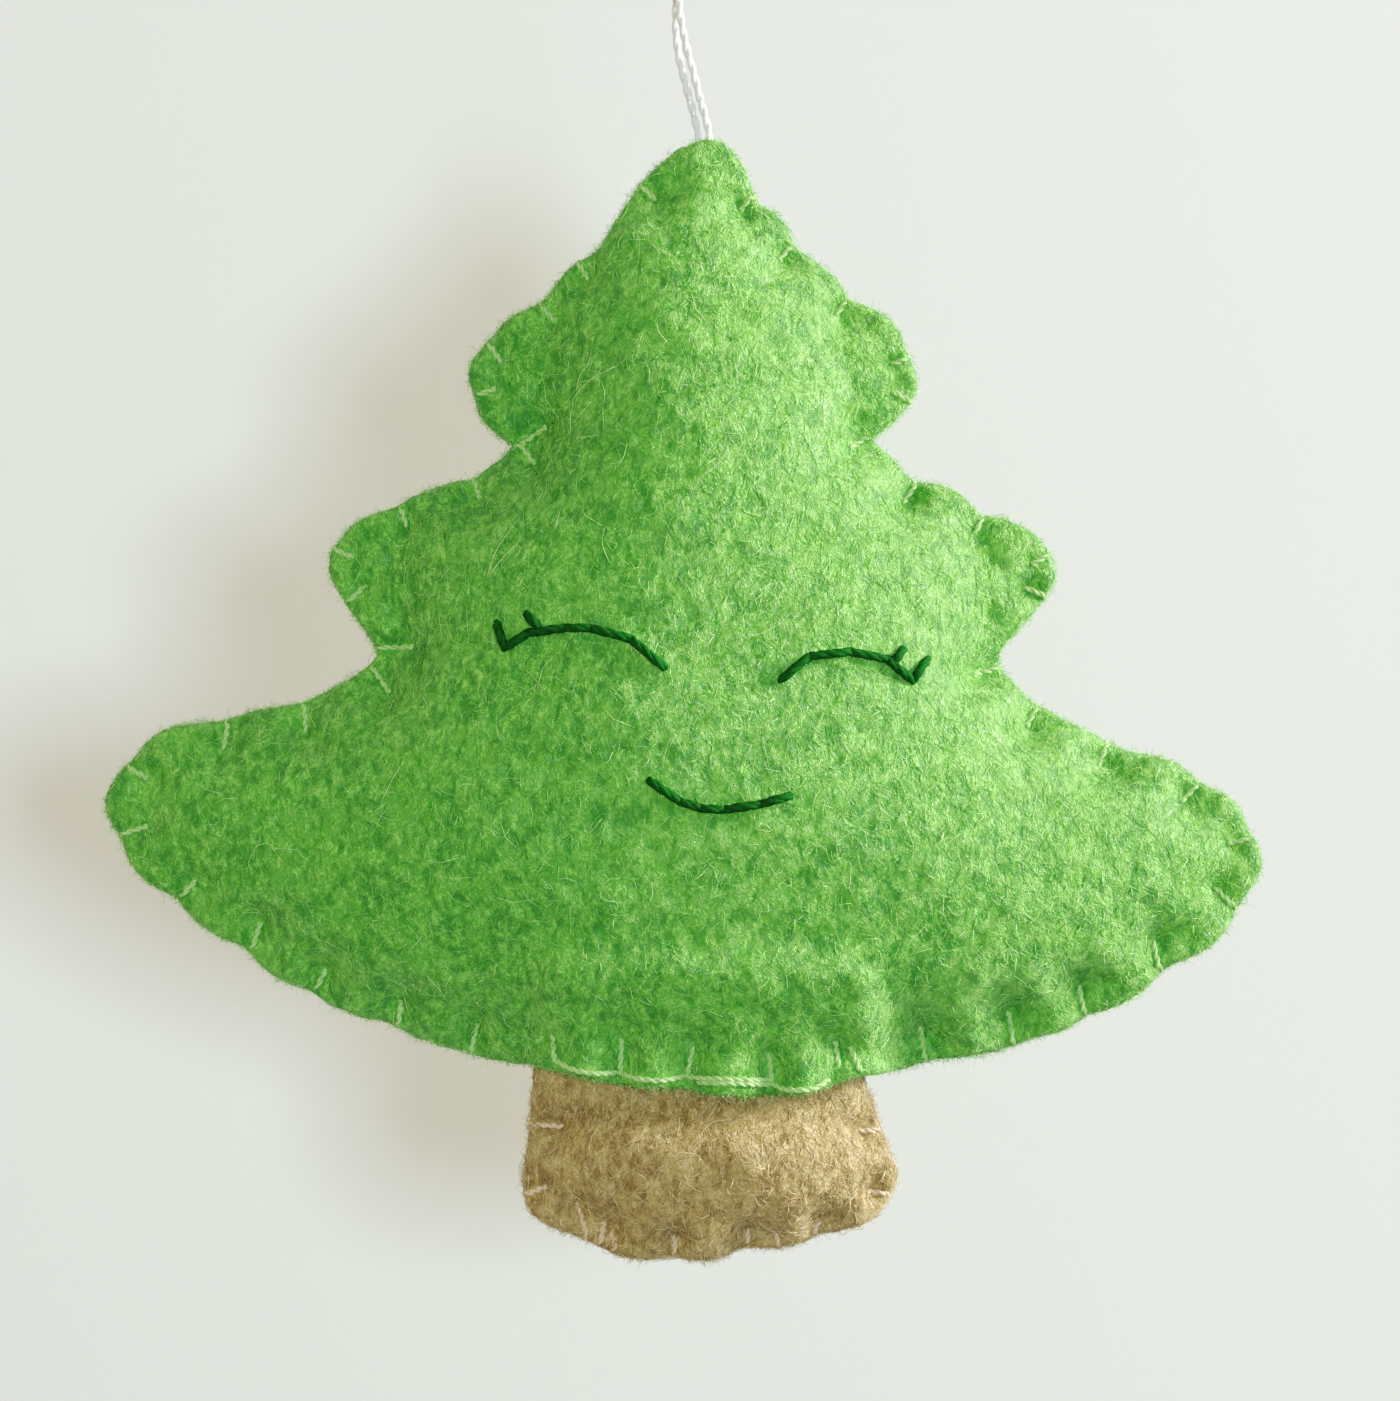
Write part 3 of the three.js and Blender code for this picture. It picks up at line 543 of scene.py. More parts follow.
def felt_net(edge, stitches, spacing):
    """Flat points and triangles of a felt piece, with lines of points under its stitches."""
    keep = []
    for a, b in stitches:
        keep.extend(a + (b - a) * t for t in ALONG_STITCH)
    keep = np.array(keep)
    keep = keep[inside_edge(edge, keep)]
    keep = keep[distance_to(edge, np.roll(edge, -1, axis=0), keep) > NET_CLEAR[0] * spacing]
    low, high = edge.min(0), edge.max(0)
    rise = spacing * math.sqrt(0.75)
    rows = np.arange(low[1], high[1], rise)
    grid = [(x + (k % 2) * spacing / 2, z)
            for k, z in enumerate(rows) for x in np.arange(low[0], high[0], spacing)]
    grid = np.array(grid)
    grid = grid[inside_edge(edge, grid)]
    grid = grid[distance_to(edge, np.roll(edge, -1, axis=0), grid) > NET_CLEAR[1] * spacing]
    gaps = np.min(np.linalg.norm(grid[:, None] - keep[None], axis=2), axis=1)
    points = np.vstack([edge, keep, grid[gaps > NET_CLEAR[2] * spacing]])
    count = len(edge)
    ring = [(i, (i + 1) % count) for i in range(count)]
    made = delaunay_2d_cdt([Vector(p) for p in points], ring, [], 1, 1e-6)
    flat = np.array([(v.x, v.y) for v in made[0]])
    return flat, [tuple(face) for face in made[2]], count


tree_edge = cut_edge(TREE_RUNS_PX, FELT_NET)
tree_stitches = from_photo(np.array(TREE_STITCHES_PX).reshape(-1, 2, 2))
tree_skin = pressed_skin(tree_edge, tree_stitches, TREE_HELD)
tree_body = pressed_skin(tree_edge, tree_stitches, TREE_HELD, TREE_TIPS_PX)

# Wool felt is a mat of crossing fibres: pale ones on top, hollows between them, and slow changes
# of tone where the mat is thicker. The raised fibres are painted paler, as painted light, and the
# hollows darker, as painted shade, over the felt's own uneven tone. One look serves both felts.
felt_look, nodes, links, given, made = new_group(
    "felted_fibres",
    {"Deep": ("NodeSocketColor", (0.1, 0.1, 0.1, 1)),
     "Middle": ("NodeSocketColor", (0.4, 0.4, 0.4, 1)),
     "Pale": ("NodeSocketColor", (0.8, 0.8, 0.8, 1)),
     "Web": ("NodeSocketFloat", 0.6)},
    {"Color": "NodeSocketColor", "Height": "NodeSocketFloat", "Roughness": "NodeSocketFloat"},
)
place = add_node(nodes, "ShaderNodeTexCoord")
web = None
for turn, fineness in ((-0.8, 2500.0), (0.1, 2200.0), (0.95, 2700.0)):
    laid = add_node(nodes, "ShaderNodeMapping")
    laid.inputs["Rotation"].default_value = (0, turn, 0)
    drawn_out = add_node(nodes, "ShaderNodeMapping")
    drawn_out.inputs["Scale"].default_value = (1, 0.6, 0.4)
    wool = add_node(nodes, "ShaderNodeTexNoise", Scale=fineness, Detail=1.5, Roughness=0.5,
                    Distortion=0.9)
    centre = add_node(nodes, "ShaderNodeMath", operation="SUBTRACT")
    centre.inputs[1].default_value = 0.5
    line = add_node(nodes, "ShaderNodeMath", operation="ABSOLUTE")
    sharp = add_node(nodes, "ShaderNodeMapRange", From_Min=0.0, From_Max=0.058, To_Min=1.0,
                     To_Max=0.0)
    wire(links, (place, "Object", laid, "Vector"), (laid, "Vector", drawn_out, "Vector"),
         (drawn_out, "Vector", wool, "Vector"), (wool, "Fac", centre, 0),
         (centre, 0, line, 0), (line, 0, sharp, "Value"))
    if web is None:
        web = sharp
    else:
        joined = add_node(nodes, "ShaderNodeMath", operation="MAXIMUM")
        wire(links, (web, 0, joined, 0), (sharp, 0, joined, 1))
        web = joined
tufts = add_node(nodes, "ShaderNodeMapping")
tufts.inputs["Rotation"].default_value = (0, 0.12, 0)
tufts.inputs["Scale"].default_value = (1, 1, 0.62)
mottle = add_node(nodes, "ShaderNodeTexNoise", Scale=1250.0, Detail=4.0, Roughness=0.62,
                  Distortion=0.5)
slow = add_node(nodes, "ShaderNodeTexNoise", Scale=260.0, Detail=3.0)
# Low mottle takes the colour to Deep and the surface down, and the raised web takes Pale: painted
# shade in the hollows and painted light on the fibres, over the felt's own uneven tone.
tone = add_node(nodes, "ShaderNodeMath", operation="MULTIPLY_ADD")
tone.inputs[1].default_value = 0.5
toned = add_node(nodes, "ShaderNodeMapRange", From_Min=0.61, From_Max=0.83)
base = add_node(nodes, "ShaderNodeMix", data_type="RGBA")
strength = add_node(nodes, "ShaderNodeMath", operation="MULTIPLY")
patchy = add_node(nodes, "ShaderNodeMapRange", From_Min=0.38, From_Max=0.66, To_Min=0.12,
                  To_Max=1.0)
weighed = add_node(nodes, "ShaderNodeMath", operation="MULTIPLY")
top = add_node(nodes, "ShaderNodeMix", data_type="RGBA")
height = add_node(nodes, "ShaderNodeMath", operation="MULTIPLY_ADD")
height.inputs[1].default_value = 0.45
rough = add_node(nodes, "ShaderNodeMapRange", From_Min=0.3, From_Max=0.8, To_Min=0.54,
                 To_Max=0.36)
wire(links, (place, "Object", tufts, "Vector"), (tufts, "Vector", mottle, "Vector"),
     (place, "Object", slow, "Vector"), (slow, "Fac", tone, 0), (mottle, "Fac", tone, 2),
     (tone, 0, toned, "Value"), (toned, 0, base, 0), (given, "Deep", base, 6),
     (given, "Middle", base, 7), (mottle, "Fac", patchy, "Value"), (web, 0, weighed, 0),
     (patchy, 0, weighed, 1), (weighed, 0, strength, 0), (given, "Web", strength, 1),
     (strength, 0, top, 0), (base, 2, top, 6), (given, "Pale", top, 7), (web, 0, height, 0),
     (mottle, "Fac", height, 2), (mottle, "Fac", rough, "Value"), (top, 2, made, "Color"),
     (height, 0, made, "Height"), (rough, 0, made, "Roughness"))


def felt_material(name, deep, middle, pale, web, glow):
    """A felt's finish: its fibres' colours and a velvety sheen."""
    material, nodes, links, shader = new_material(name)
    finish_with(felt_look, nodes, links, shader, 0.75, 0.00022,
                Deep=(*deep, 1), Middle=(*middle, 1), Pale=(*pale, 1), Web=web)
    shader.inputs["Sheen Weight"].default_value = 0.25
    shader.inputs["Sheen Roughness"].default_value = 0.6
    shader.inputs["Sheen Tint"].default_value = (*glow, 1)
    shader.inputs["Specular IOR Level"].default_value = 0.75
    return material


# Deep and Pale carry painted shade in the hollows and painted light on the raised fibres.
green_felt = felt_material("green_felt", (0.025, 0.265, 0.004), (0.105, 0.43, 0.026),
                           (0.34, 0.82, 0.14), 0.85, (1.0, 1.0, 0.85))

# A sheet stands upright to the seam near its rim, the rim bulges out by a share of the felt's
# thickness, and its faces are uneven by a height that changes over a size, except on the inside.
RIM_UPRIGHT = 2.2
RIM_BULGE = 0.28
FELT_LUMPS = ((0.05, 1.7), (0.07, 4.2))
INSIDE = -0.3
TINY = 1e-12


def outward_of(edge):
    """The way out of the felt at each point of its cut edge."""
    ahead = np.roll(edge, -1, axis=0) - np.roll(edge, 1, axis=0)
    return unit(np.stack([ahead[:, 1], -ahead[:, 0]], -1))


def read_rows(items, name, kind=float):
    """A mesh's values of that name, three to a row."""
    values = np.empty(len(items) * 3, kind)
    items.foreach_get(name, values)
    return values.reshape(-1, 3)


def mesh_normals(points, faces):
    """The smooth direction of a surface at each of its points."""
    corners = np.array(faces)
    a, b, c = points[corners].transpose(1, 0, 2)
    facing = np.cross(b - a, c - a)
    normals = np.zeros_like(points)
    for k in range(3):
        np.add.at(normals, corners[:, k], facing)
    return normals / np.maximum(np.linalg.norm(normals, axis=1, keepdims=True), TINY)


def sheet_of_felt(name, net, middle, thickness, material, seed):
    """One sheet of felt round the surface given, as a closed slab with a soft, rounded rim."""
    flat, faces, rim = net
    side = np.sign(middle[:, 1].sum())
    turned = [face if side < 0 else face[::-1] for face in faces]
    normals = mesh_normals(middle, turned)
    if (normals[:, 1] * side).mean() < 0:
        normals = -normals
    edge = flat[:rim]
    depth = distance_to(edge, np.roll(edge, -1, axis=0), flat)
    upright = (1 - ramp(0.0, RIM_UPRIGHT, depth))[:, None]
    normals = unit(normals * (1 - upright) + np.array([0, side, 0]) * upright)
    half = thickness[:, None] / 2
    outer = middle + normals * half
    inner = middle - normals * half
    inner[:, 1] = side * np.maximum(inner[:, 1] * side, SEAM_GAP / 3)
    round_rim = middle[:rim].copy()
    round_rim[:, [0, 2]] += outward_of(edge) * RIM_BULGE * FELT
    count = len(middle)
    points = np.vstack([outer, inner, round_rim])
    made = [tuple(face) for face in turned]
    made += [tuple(i + count for i in face[::-1]) for face in turned]
    for i in range(rim):
        j = (i + 1) % rim
        made.append((i, j, 2 * count + j, 2 * count + i))
        made.append((2 * count + i, 2 * count + j, count + j, count + i))
    coarse = new_piece(name, [(points, made)], material)
    shell = bmesh.new()
    shell.from_mesh(coarse.data)
    bmesh.ops.recalc_face_normals(shell, faces=shell.faces)
    shell.to_mesh(coarse.data)
    shell.free()
    rounding = coarse.modifiers.new("rounding", "SUBSURF")
    rounding.levels = rounding.render_levels = 1
    depsgraph = bpy.context.evaluated_depsgraph_get()
    fine = bpy.data.meshes.new_from_object(coarse.evaluated_get(depsgraph))
    coarse.modifiers.clear()
    coarse.data = fine
    place = read_rows(fine.vertices, "co") / MILLIMETRE
    facing = read_rows(fine.vertices, "normal")
    rise = sum(high * lumps(place, size, seed + k) for k, (high, size) in enumerate(FELT_LUMPS))
    place += facing * rise[:, None] * (facing[:, 1] * side > INSIDE)[:, None]
    fine.vertices.foreach_set("co", (place * MILLIMETRE).ravel())
    fine.polygons.foreach_set("use_smooth", np.ones(len(fine.polygons), bool))
    fine.update()
    return coarse


# The tree's foot is lifted over the trunk's tucked top, and the lift runs out where the trunk ends,
# at shares of its half width. Between its stitches the foot stands a little higher, and no hollow
# takes it lower than most of its lift, or it would cut into the trunk.
TUCK_PX = (708.45, 969)
FOOT_PX = (705, 1091.5)
TRUNK_ACROSS, TRUNK_TOP = from_photo(TUCK_PX)
TRUNK_HALF = 14.65
TUCK_EASE = 5.0
FOOT_REACH = (0.83, 1.05)
FOOT_LIFT = 3.77
FOOT_EXTRA = 0.3
FOOT_DRAWN_IN = (0.32, 1.6)
FOOT_LEAST = 0.93
SWELL_LEAST = 0.02


def drawn_in(stitches, flat, share, reach):
    """What is left of a height near the stitches, which draw the felt in."""
    near = distance_to(*stitches.transpose(1, 0, 2), flat)
    return 1 - share * np.exp(-(near / reach) ** 2)


def pressed_in(swell, flat, hollows_px):
    """The swell with each of the hollows taken out of it."""
    for across, down, reach, deep in hollows_px:
        away = np.linalg.norm(flat - from_photo([across, down]), axis=1)
        swell = swell - deep * np.exp(-(away / (reach * PIXEL)) ** 2)
    return swell


def foot_share(flat, reach=FOOT_REACH):
    """How much of its lift over the trunk the tree's foot has, from 0 to 1."""
    across = np.abs(flat[:, 0] - TRUNK_ACROSS) / TRUNK_HALF
    above = ramp(TRUNK_TOP, TRUNK_TOP + TUCK_EASE, flat[:, 1])
    return (1 - ramp(*reach, across)) * (1 - above)


def tree_swell(flat, seed):
    """How far the inside of the tree's felt lies from the seam."""
    swell = (tree_body(flat) ** 4 + (TIP_FILL * tree_skin(flat)) ** 4) ** 0.25
    swell *= TREE_CROWN * drawn_in(tree_stitches, flat, *TREE_DRAWN_IN)
    swell *= 1 + TREE_UNEVEN[0] * lumps(flat, TREE_UNEVEN[1], seed)
    foot = FOOT_LIFT * foot_share(flat)
    raised = foot * (FOOT_EXTRA + drawn_in(tree_stitches, flat, *FOOT_DRAWN_IN))
    swell = np.cbrt(swell ** 3 + raised ** 3)
    if seed == TREE_SEEDS[0]:
        swell = pressed_in(swell, flat, TREE_HOLLOWS_PX)
    return SEAM_GAP / 2 + np.maximum(np.maximum(swell, FOOT_LEAST * foot), SWELL_LEAST)


def two_sheets(names, net, stitches, pinch_reach, swell, seeds, material):
    """A cushion's front and back sheets, thinner where a stitch pinches them, and their rims."""
    flat, _, rim = net
    thickness = FELT * drawn_in(stitches, flat, STITCH_PINCH, pinch_reach)
    sheets, rims = [], []
    for side, name, seed in zip((-1, 1), names, seeds):
        height = swell(flat, seed) + thickness / 2
        middle = np.stack([flat[:, 0], side * height, flat[:, 1]], -1)
        sheets.append(sheet_of_felt(name, net, middle, thickness, material, seed))
        rims.append(middle[:rim])
    return *sheets, rims


tree_net = felt_net(tree_edge, tree_stitches, FELT_NET)
tree_front, tree_back, tree_rims = two_sheets(
    ("tree_front_sheet", "tree_back_sheet"), tree_net, tree_stitches, TREE_PINCH_REACH,
    tree_swell, TREE_SEEDS, green_felt)
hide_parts("tree_front_felt")
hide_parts("tree_back_felt")
for sheet in (tree_front, tree_back):
    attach(sheet, "ornament")

# The filling is white polyester wadding, pushed in by hand before the last stitches. None of it
# shows: it is what pads both felts out, and it stays clear of the seam and of the tucked trunk.
FILLING_GAP = 0.35
FILLING_LEAST = 0.03
FILLING_IN = 3.0
FILLING_OFF_TRUNK = 6.0
FILLING_TRUNK_REACH = (1.5, 2.0)


def filling(name, net, edge, inset, swell, seeds, material):
    """A stuffed body inside both sheets, over the net's part that lies so far in from the edge."""
    flat, faces, _ = net
    depth = distance_to(edge, np.roll(edge, -1, axis=0), flat) - inset
    heights = [np.maximum(swell(flat, seed) - FILLING_GAP, FILLING_LEAST) for seed in seeds]
    kept = [face for face in faces if min(depth[list(face)]) > 0]
    count = len(flat)
    front = np.stack([flat[:, 0], -heights[0], flat[:, 1]], -1)
    back = np.stack([flat[:, 0], heights[1], flat[:, 1]], -1)
    made = [tuple(face) for face in kept]
    made += [tuple(i + count for i in face[::-1]) for face in kept]
    sides = {(face[k], face[(k + 1) % 3]) for face in kept for k in range(3)}
    made += [(j, i, i + count, j + count) for i, j in sides if (j, i) not in sides]
    used = sorted({i for face in made for i in face})
    place = {old: new for new, old in enumerate(used)}
    points = np.vstack([front, back])[used]
    return new_piece(name, [(points, [tuple(place[i] for i in face) for face in made])],
                     material)


def flat_area(net):
    """The area of a flat net of triangles."""
    a, b, c = net[0][np.array(net[1])].transpose(1, 0, 2)
    ab, ac = b - a, c - a
    return float(np.abs(ab[:, 0] * ac[:, 1] - ab[:, 1] * ac[:, 0]).sum() / 2)


white_stuffing, nodes, links, shader = new_material("white_stuffing")
place = add_node(nodes, "ShaderNodeTexCoord")
tangle = add_node(nodes, "ShaderNodeTexNoise", Scale=900.0, Detail=6.0, Distortion=1.2)
shade = add_node(nodes, "ShaderNodeMix", data_type="RGBA")
shade.inputs[6].default_value = (0.72, 0.72, 0.7, 1)
shade.inputs[7].default_value = (0.95, 0.95, 0.94, 1)
fluff = add_node(nodes, "ShaderNodeBump", Strength=0.8, Distance=0.0003)
wire(links, (place, "Object", tangle, "Vector"), (tangle, "Fac", shade, 0),
     (shade, 2, shader, "Base Color"), (tangle, "Fac", fluff, "Height"),
     (fluff, "Normal", shader, "Normal"))
shader.inputs["Roughness"].default_value = 0.95
tree_inset = FILLING_IN + FILLING_OFF_TRUNK * foot_share(tree_net[0], FILLING_TRUNK_REACH)
tree_filling = filling("tree_filling", tree_net, tree_edge, tree_inset, tree_swell, TREE_SEEDS,
                       white_stuffing)
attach(tree_filling, "ornament")
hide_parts("tree_stuffing")

# The size of each of the tree's sheets when flat, in metres, and how much larger than the cut
# outline the sheets' cloth is, for what the swell draws up.
DRAWN_UP = 1.04
for sheet in (tree_front, tree_back):
    flat_area(tree_net) * DRAWN_UP * MILLIMETRE ** 2

# The pale green thread holds the tree's two sheets together in blanket stitches: each bite runs
# over the edge into both faces and pulls the felt in, and between the bites the thread lies
# along the seam. At the trunk it lies on the front sheet, a little above the felt's edge.
EDGE_THREAD = 0.52
EDGE_LAY = 1.5
BITE_SINK = 0.16
BITE_PULL = 0.12
# A bite turns just outside the edge, at a share of the rim's height, and dives at its hole while
# it still goes on a little. The purl lies in from the edge, a share of the way to a straight line.
BITE_POINTS = 7
BITE_IN = 0.25
BITE_OUT = 0.12
BITE_TURN = 0.62
BITE_DIVE = 0.85
BITE_ON = 0.18
BITE_RISE = 0.5
PURL_IN = 0.25
PURL_STRAIGHT = 0.25
LINE_DIVE = 0.45
LINE_STEP = 0.6
LAY_STEPS = 10
SEAM_START = 0.05
RAY_FROM = 40
TREE_FOOT_LINES_PX = [
    [(555, 1056), (575, 1065.5), (600, 1069.5), (622, 1069)],
    [(620, 1069), (640, 1074.5), (663, 1076), (688, 1072)],
    [(686, 1073), (720, 1074.5), (745, 1075.5), (772, 1077)],
    [(697, 1078), (735, 1079), (773, 1081.5)],
    [(771, 1079), (782, 1084.5), (800, 1085.5), (815, 1083), (829, 1074)],
]
TREE_FOOT_BITES_PX = {22: (555.5, 1056), 23: (621, 1068), 24: (687, 1071), 25: (771, 1077),
                      26: (837, 1062)}


def surface_of(piece):
    """A lookup of a finished piece's surface, in millimetres."""
    mesh = piece.data
    points = (read_rows(mesh.vertices, "co") / MILLIMETRE).tolist()
    return BVHTree.FromPolygons([Vector(p) for p in points],
                                [tuple(face.vertices) for face in mesh.polygons])


def laid_on(surface, points, side, sink):
    """The flat points brought to the outside of the surface and sunk into it by that much."""
    placed = []
    for x, z in points:
        hit = surface.ray_cast(Vector((x, side * RAY_FROM, z)), Vector((0, -side, 0)))[0]
        if hit is None:
            hit = surface.find_nearest(Vector((x, side * FELT, z)))[0]
        placed.append((x, hit.y - side * sink, z))
    return np.array(placed)


def stitched_edge(stitches, edge, surfaces, width, lay, short_px=()):
    """An edge's blanket stitches: the bites on both faces and the purl along the seam.
    A bite with a place in short_px starts there on the front, and not at the edge."""
    parts = []
    outward = outward_of(edge)
    starts = []
    for number, (seen, hole) in enumerate(stitches):
        at = int(np.argmin(np.linalg.norm(edge - seen, axis=1)))
        starts.append(at)
        foot = edge[at] + outward[at] * BITE_OUT
        for side, surface in surfaces.items():
            along = edge[at] - outward[at] * BITE_IN
            if side < 0 and number in short_px:
                along = from_photo(short_px[number])
            flat = along + (hole - along) * np.linspace(0.0, 1.0, BITE_POINTS)[:, None]
            over = laid_on(surface, flat, side, -width / 2 + BITE_SINK + BITE_PULL)
            dive = over[-1:] - [0, side * BITE_DIVE, 0]
            dive[0, [0, 2]] += unit(hole - seen) * BITE_ON
            first = [(foot[0], side * SEAM_START, foot[1]),
                     (foot[0], over[0, 1] * BITE_TURN, foot[1])]
            if side < 0 and number in short_px:
                first = over[:1] - [0, side * BITE_RISE, 0]
            path = smooth_path(np.vstack([first, over, dive]), lay / LAY_STEPS)
            parts += twisted(path, width, lay, 2)
    for number, at in enumerate(starts):
        to = starts[(number + 1) % len(starts)]
        run = (to - at) % len(edge)
        if run > len(edge) / 4 or run < 2:
            continue
        route = (at + np.arange(0, run + 1)) % len(edge)
        seam = edge[route] - outward[route] * PURL_IN
        chord = seam[0] + (seam[-1] - seam[0]) * np.linspace(0, 1, len(route))[:, None]
        seam = (1 - PURL_STRAIGHT) * seam + PURL_STRAIGHT * chord
        line = np.stack([seam[:, 0], np.zeros(len(seam)), seam[:, 1]], -1)
        line = line[::2] if len(line) > 4 else line
        parts += twisted(smooth_path(line, lay / LAY_STEPS), width, lay, 2)
    return parts


pale_thread = thread_material("pale_green_thread", (0.24, 0.47, 0.12), (0.54, 0.82, 0.34), 0.1)
tree_surfaces = {-1: surface_of(tree_front), 1: surface_of(tree_back)}
tree_bites = stitched_edge(tree_stitches, tree_edge, tree_surfaces, EDGE_THREAD, EDGE_LAY,
                           TREE_FOOT_BITES_PX)
for line_px in TREE_FOOT_LINES_PX:
    line = laid_on(tree_surfaces[-1], smooth_path(from_photo(line_px), LINE_STEP), -1,
                   -EDGE_THREAD / 2 + BITE_SINK)
    line[[0, -1], 1] += LINE_DIVE
    tree_bites += twisted(smooth_path(line, EDGE_LAY / LAY_STEPS), EDGE_THREAD, EDGE_LAY, 2)
tree_thread = new_piece("tree_edge_stitches", tree_bites, pale_thread)
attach(tree_thread, "ornament")
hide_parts("tree_edge_thread")

# The trunk is a second little cushion, of the same felt in brown with finer stitches in a blush
# thread. Its flat top is tucked up between the tree's two sheets and held there by their stitches.
TRUNK_RUNS_PX = [
    [(548, 969), (543, 1020), (538, 1069), (535, 1102), (532, 1139), (527, 1170), (527, 1191),
     (535, 1210), (556, 1225), (581, 1234), (609, 1246), (627, 1254), (651, 1255.5),
     (670, 1252), (694, 1257), (713, 1257), (737, 1246), (746, 1243), (774, 1245),
     (801, 1239), (817, 1231), (847, 1225), (872, 1213), (884, 1197), (893, 1179),
     (890, 1161), (881, 1139), (875, 1124), (869, 1102), (860, 1075), (856, 1020),
     (852.5, 969)],
    [(852.5, 969), (750, 968), (650, 968), (548, 969)],
]
TRUNK_STITCHES_PX = [
    (535, 1122, 562.5, 1126), (527, 1191, 546, 1186), (583, 1233, 577.5, 1203),
    (602.5, 1238, 604, 1222), (612, 1246, 612, 1233), (673.5, 1252, 674.7, 1236),
    (746, 1242, 747, 1229), (775.5, 1244, 776, 1233), (818, 1232, 820, 1219),
    (887, 1196, 867, 1190), (878, 1129.5, 860, 1129.5),
]
TRUNK_HOLLOWS_PX = [
    (682, 1238, 11, 1.3), (757, 1228, 11, 1.3), (834, 1213, 12, 1.2), (876, 1177, 9, 1.1),
    (566, 1114, 12, 0.5), (553, 1176, 10, 0.5), (614, 1222, 12, 0.6), (862, 1142, 12, 0.5),
]
TRUNK_SEEDS = (31, 43)
TRUNK_CROWN = 4.6
TRUNK_DRAWN_IN = (0.6, 1.5)
TRUNK_UNEVEN = (0.05, 9.0)
TRUNK_NET = 0.62
TRUNK_HELD = 0.4
TRUNK_PINCH_REACH = 0.7
TRUNK_GRIP = (-99.2, -94.2)
TRUNK_GRIPPED = 0.5
TRUNK_FILLING_IN = 2.4
TRUNK_THREAD = 0.54
TRUNK_LAY = 1.3
trunk_edge = cut_edge(TRUNK_RUNS_PX, TRUNK_NET)
trunk_stitches = from_photo(np.array(TRUNK_STITCHES_PX).reshape(-1, 2, 2))
trunk_skin = pressed_skin(trunk_edge, trunk_stitches, TRUNK_HELD)


def trunk_swell(flat, seed):
    """How far the inside of the trunk's felt lies from its seam; the tree grips its top."""
    swell = TRUNK_CROWN * trunk_skin(flat) * drawn_in(trunk_stitches, flat, *TRUNK_DRAWN_IN)
    swell *= 1 - TRUNK_GRIPPED * ramp(*TRUNK_GRIP, flat[:, 1])
    swell *= 1 + TRUNK_UNEVEN[0] * lumps(flat, TRUNK_UNEVEN[1], seed)
    if seed == TRUNK_SEEDS[0]:
        swell = pressed_in(swell, flat, TRUNK_HOLLOWS_PX)
    return SEAM_GAP / 2 + np.maximum(swell, SWELL_LEAST)


# Deep and Pale carry painted shade in the hollows and painted light on the raised fibres.
brown_felt = felt_material("brown_felt", (0.26, 0.15, 0.035), (0.49, 0.34, 0.115),
                           (0.8, 0.61, 0.28), 0.75, (1.0, 0.9, 0.7))
trunk_net = felt_net(trunk_edge, trunk_stitches, TRUNK_NET)
trunk_front, trunk_back, trunk_rims = two_sheets(
    ("trunk_front_sheet", "trunk_back_sheet"), trunk_net, trunk_stitches, TRUNK_PINCH_REACH,
    trunk_swell, TRUNK_SEEDS, brown_felt)
trunk_filling = filling("trunk_filling", trunk_net, trunk_edge, TRUNK_FILLING_IN, trunk_swell,
                        TRUNK_SEEDS, white_stuffing)
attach(trunk_filling, "ornament")
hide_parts("trunk_stuffing")
for sheet, node in ((trunk_front, "trunk_front_felt"), (trunk_back, "trunk_back_felt")):
    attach(sheet, "ornament")
    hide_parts(node)
    flat_area(trunk_net) * DRAWN_UP * MILLIMETRE ** 2
blush_thread = thread_material("blush_thread", (0.55, 0.36, 0.2), (0.9, 0.7, 0.48), 0.05)
trunk_surfaces = {-1: surface_of(trunk_front), 1: surface_of(trunk_back)}
trunk_thread = new_piece(
    "trunk_edge_stitches",
    stitched_edge(trunk_stitches, trunk_edge, trunk_surfaces, TRUNK_THREAD, TRUNK_LAY),
    blush_thread)
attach(trunk_thread, "ornament")
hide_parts("trunk_edge_thread")

# The sleeping face is sewn through the front sheet in backstitches of thick dark green floss:
# two closed eyes with two lashes each and a smile.
FLOSS = 0.76
FLOSS_LAY = 3.2
FLOSS_BULK = 0.33
FLOSS_SINK = 0.2
FLOSS_STEP = 0.5
FLOSS_ARCH = 0.22
FLOSS_DIP = 0.25
FLOSS_DIVE = 0.75
FLOSS_ON = 0.15
FACE_PX = {
    "left_eye": ("left_eye_thread", [(665, 668), (632, 640), (593, 629.5), (568, 629),
                                     (531, 634), (509, 648)]),
    "left_eye_outer": ("left_eye_outer_lash", [(508, 649), (500, 625)]),
    "left_eye_inner": ("left_eye_inner_lash", [(542, 629), (530, 616)]),
    "right_eye": ("right_eye_thread", [(780, 680), (808, 657), (848, 652.5), (884.5, 660),
                                       (910, 681)]),
    "right_eye_outer": ("right_eye_outer_lash", [(911, 680), (924, 660)]),
    "right_eye_inner": ("right_eye_inner_lash", [(890, 664), (900, 650.5)]),
    "mouth": ("mouth_thread", [(651, 779), (680, 799), (701, 806), (724, 807.5), (760, 802),
                               (788, 794)]),
}
floss = thread_material("dark_green_floss", (0.002, 0.045, 0.004), (0.008, 0.14, 0.013), 0.02,
                        4200.0)


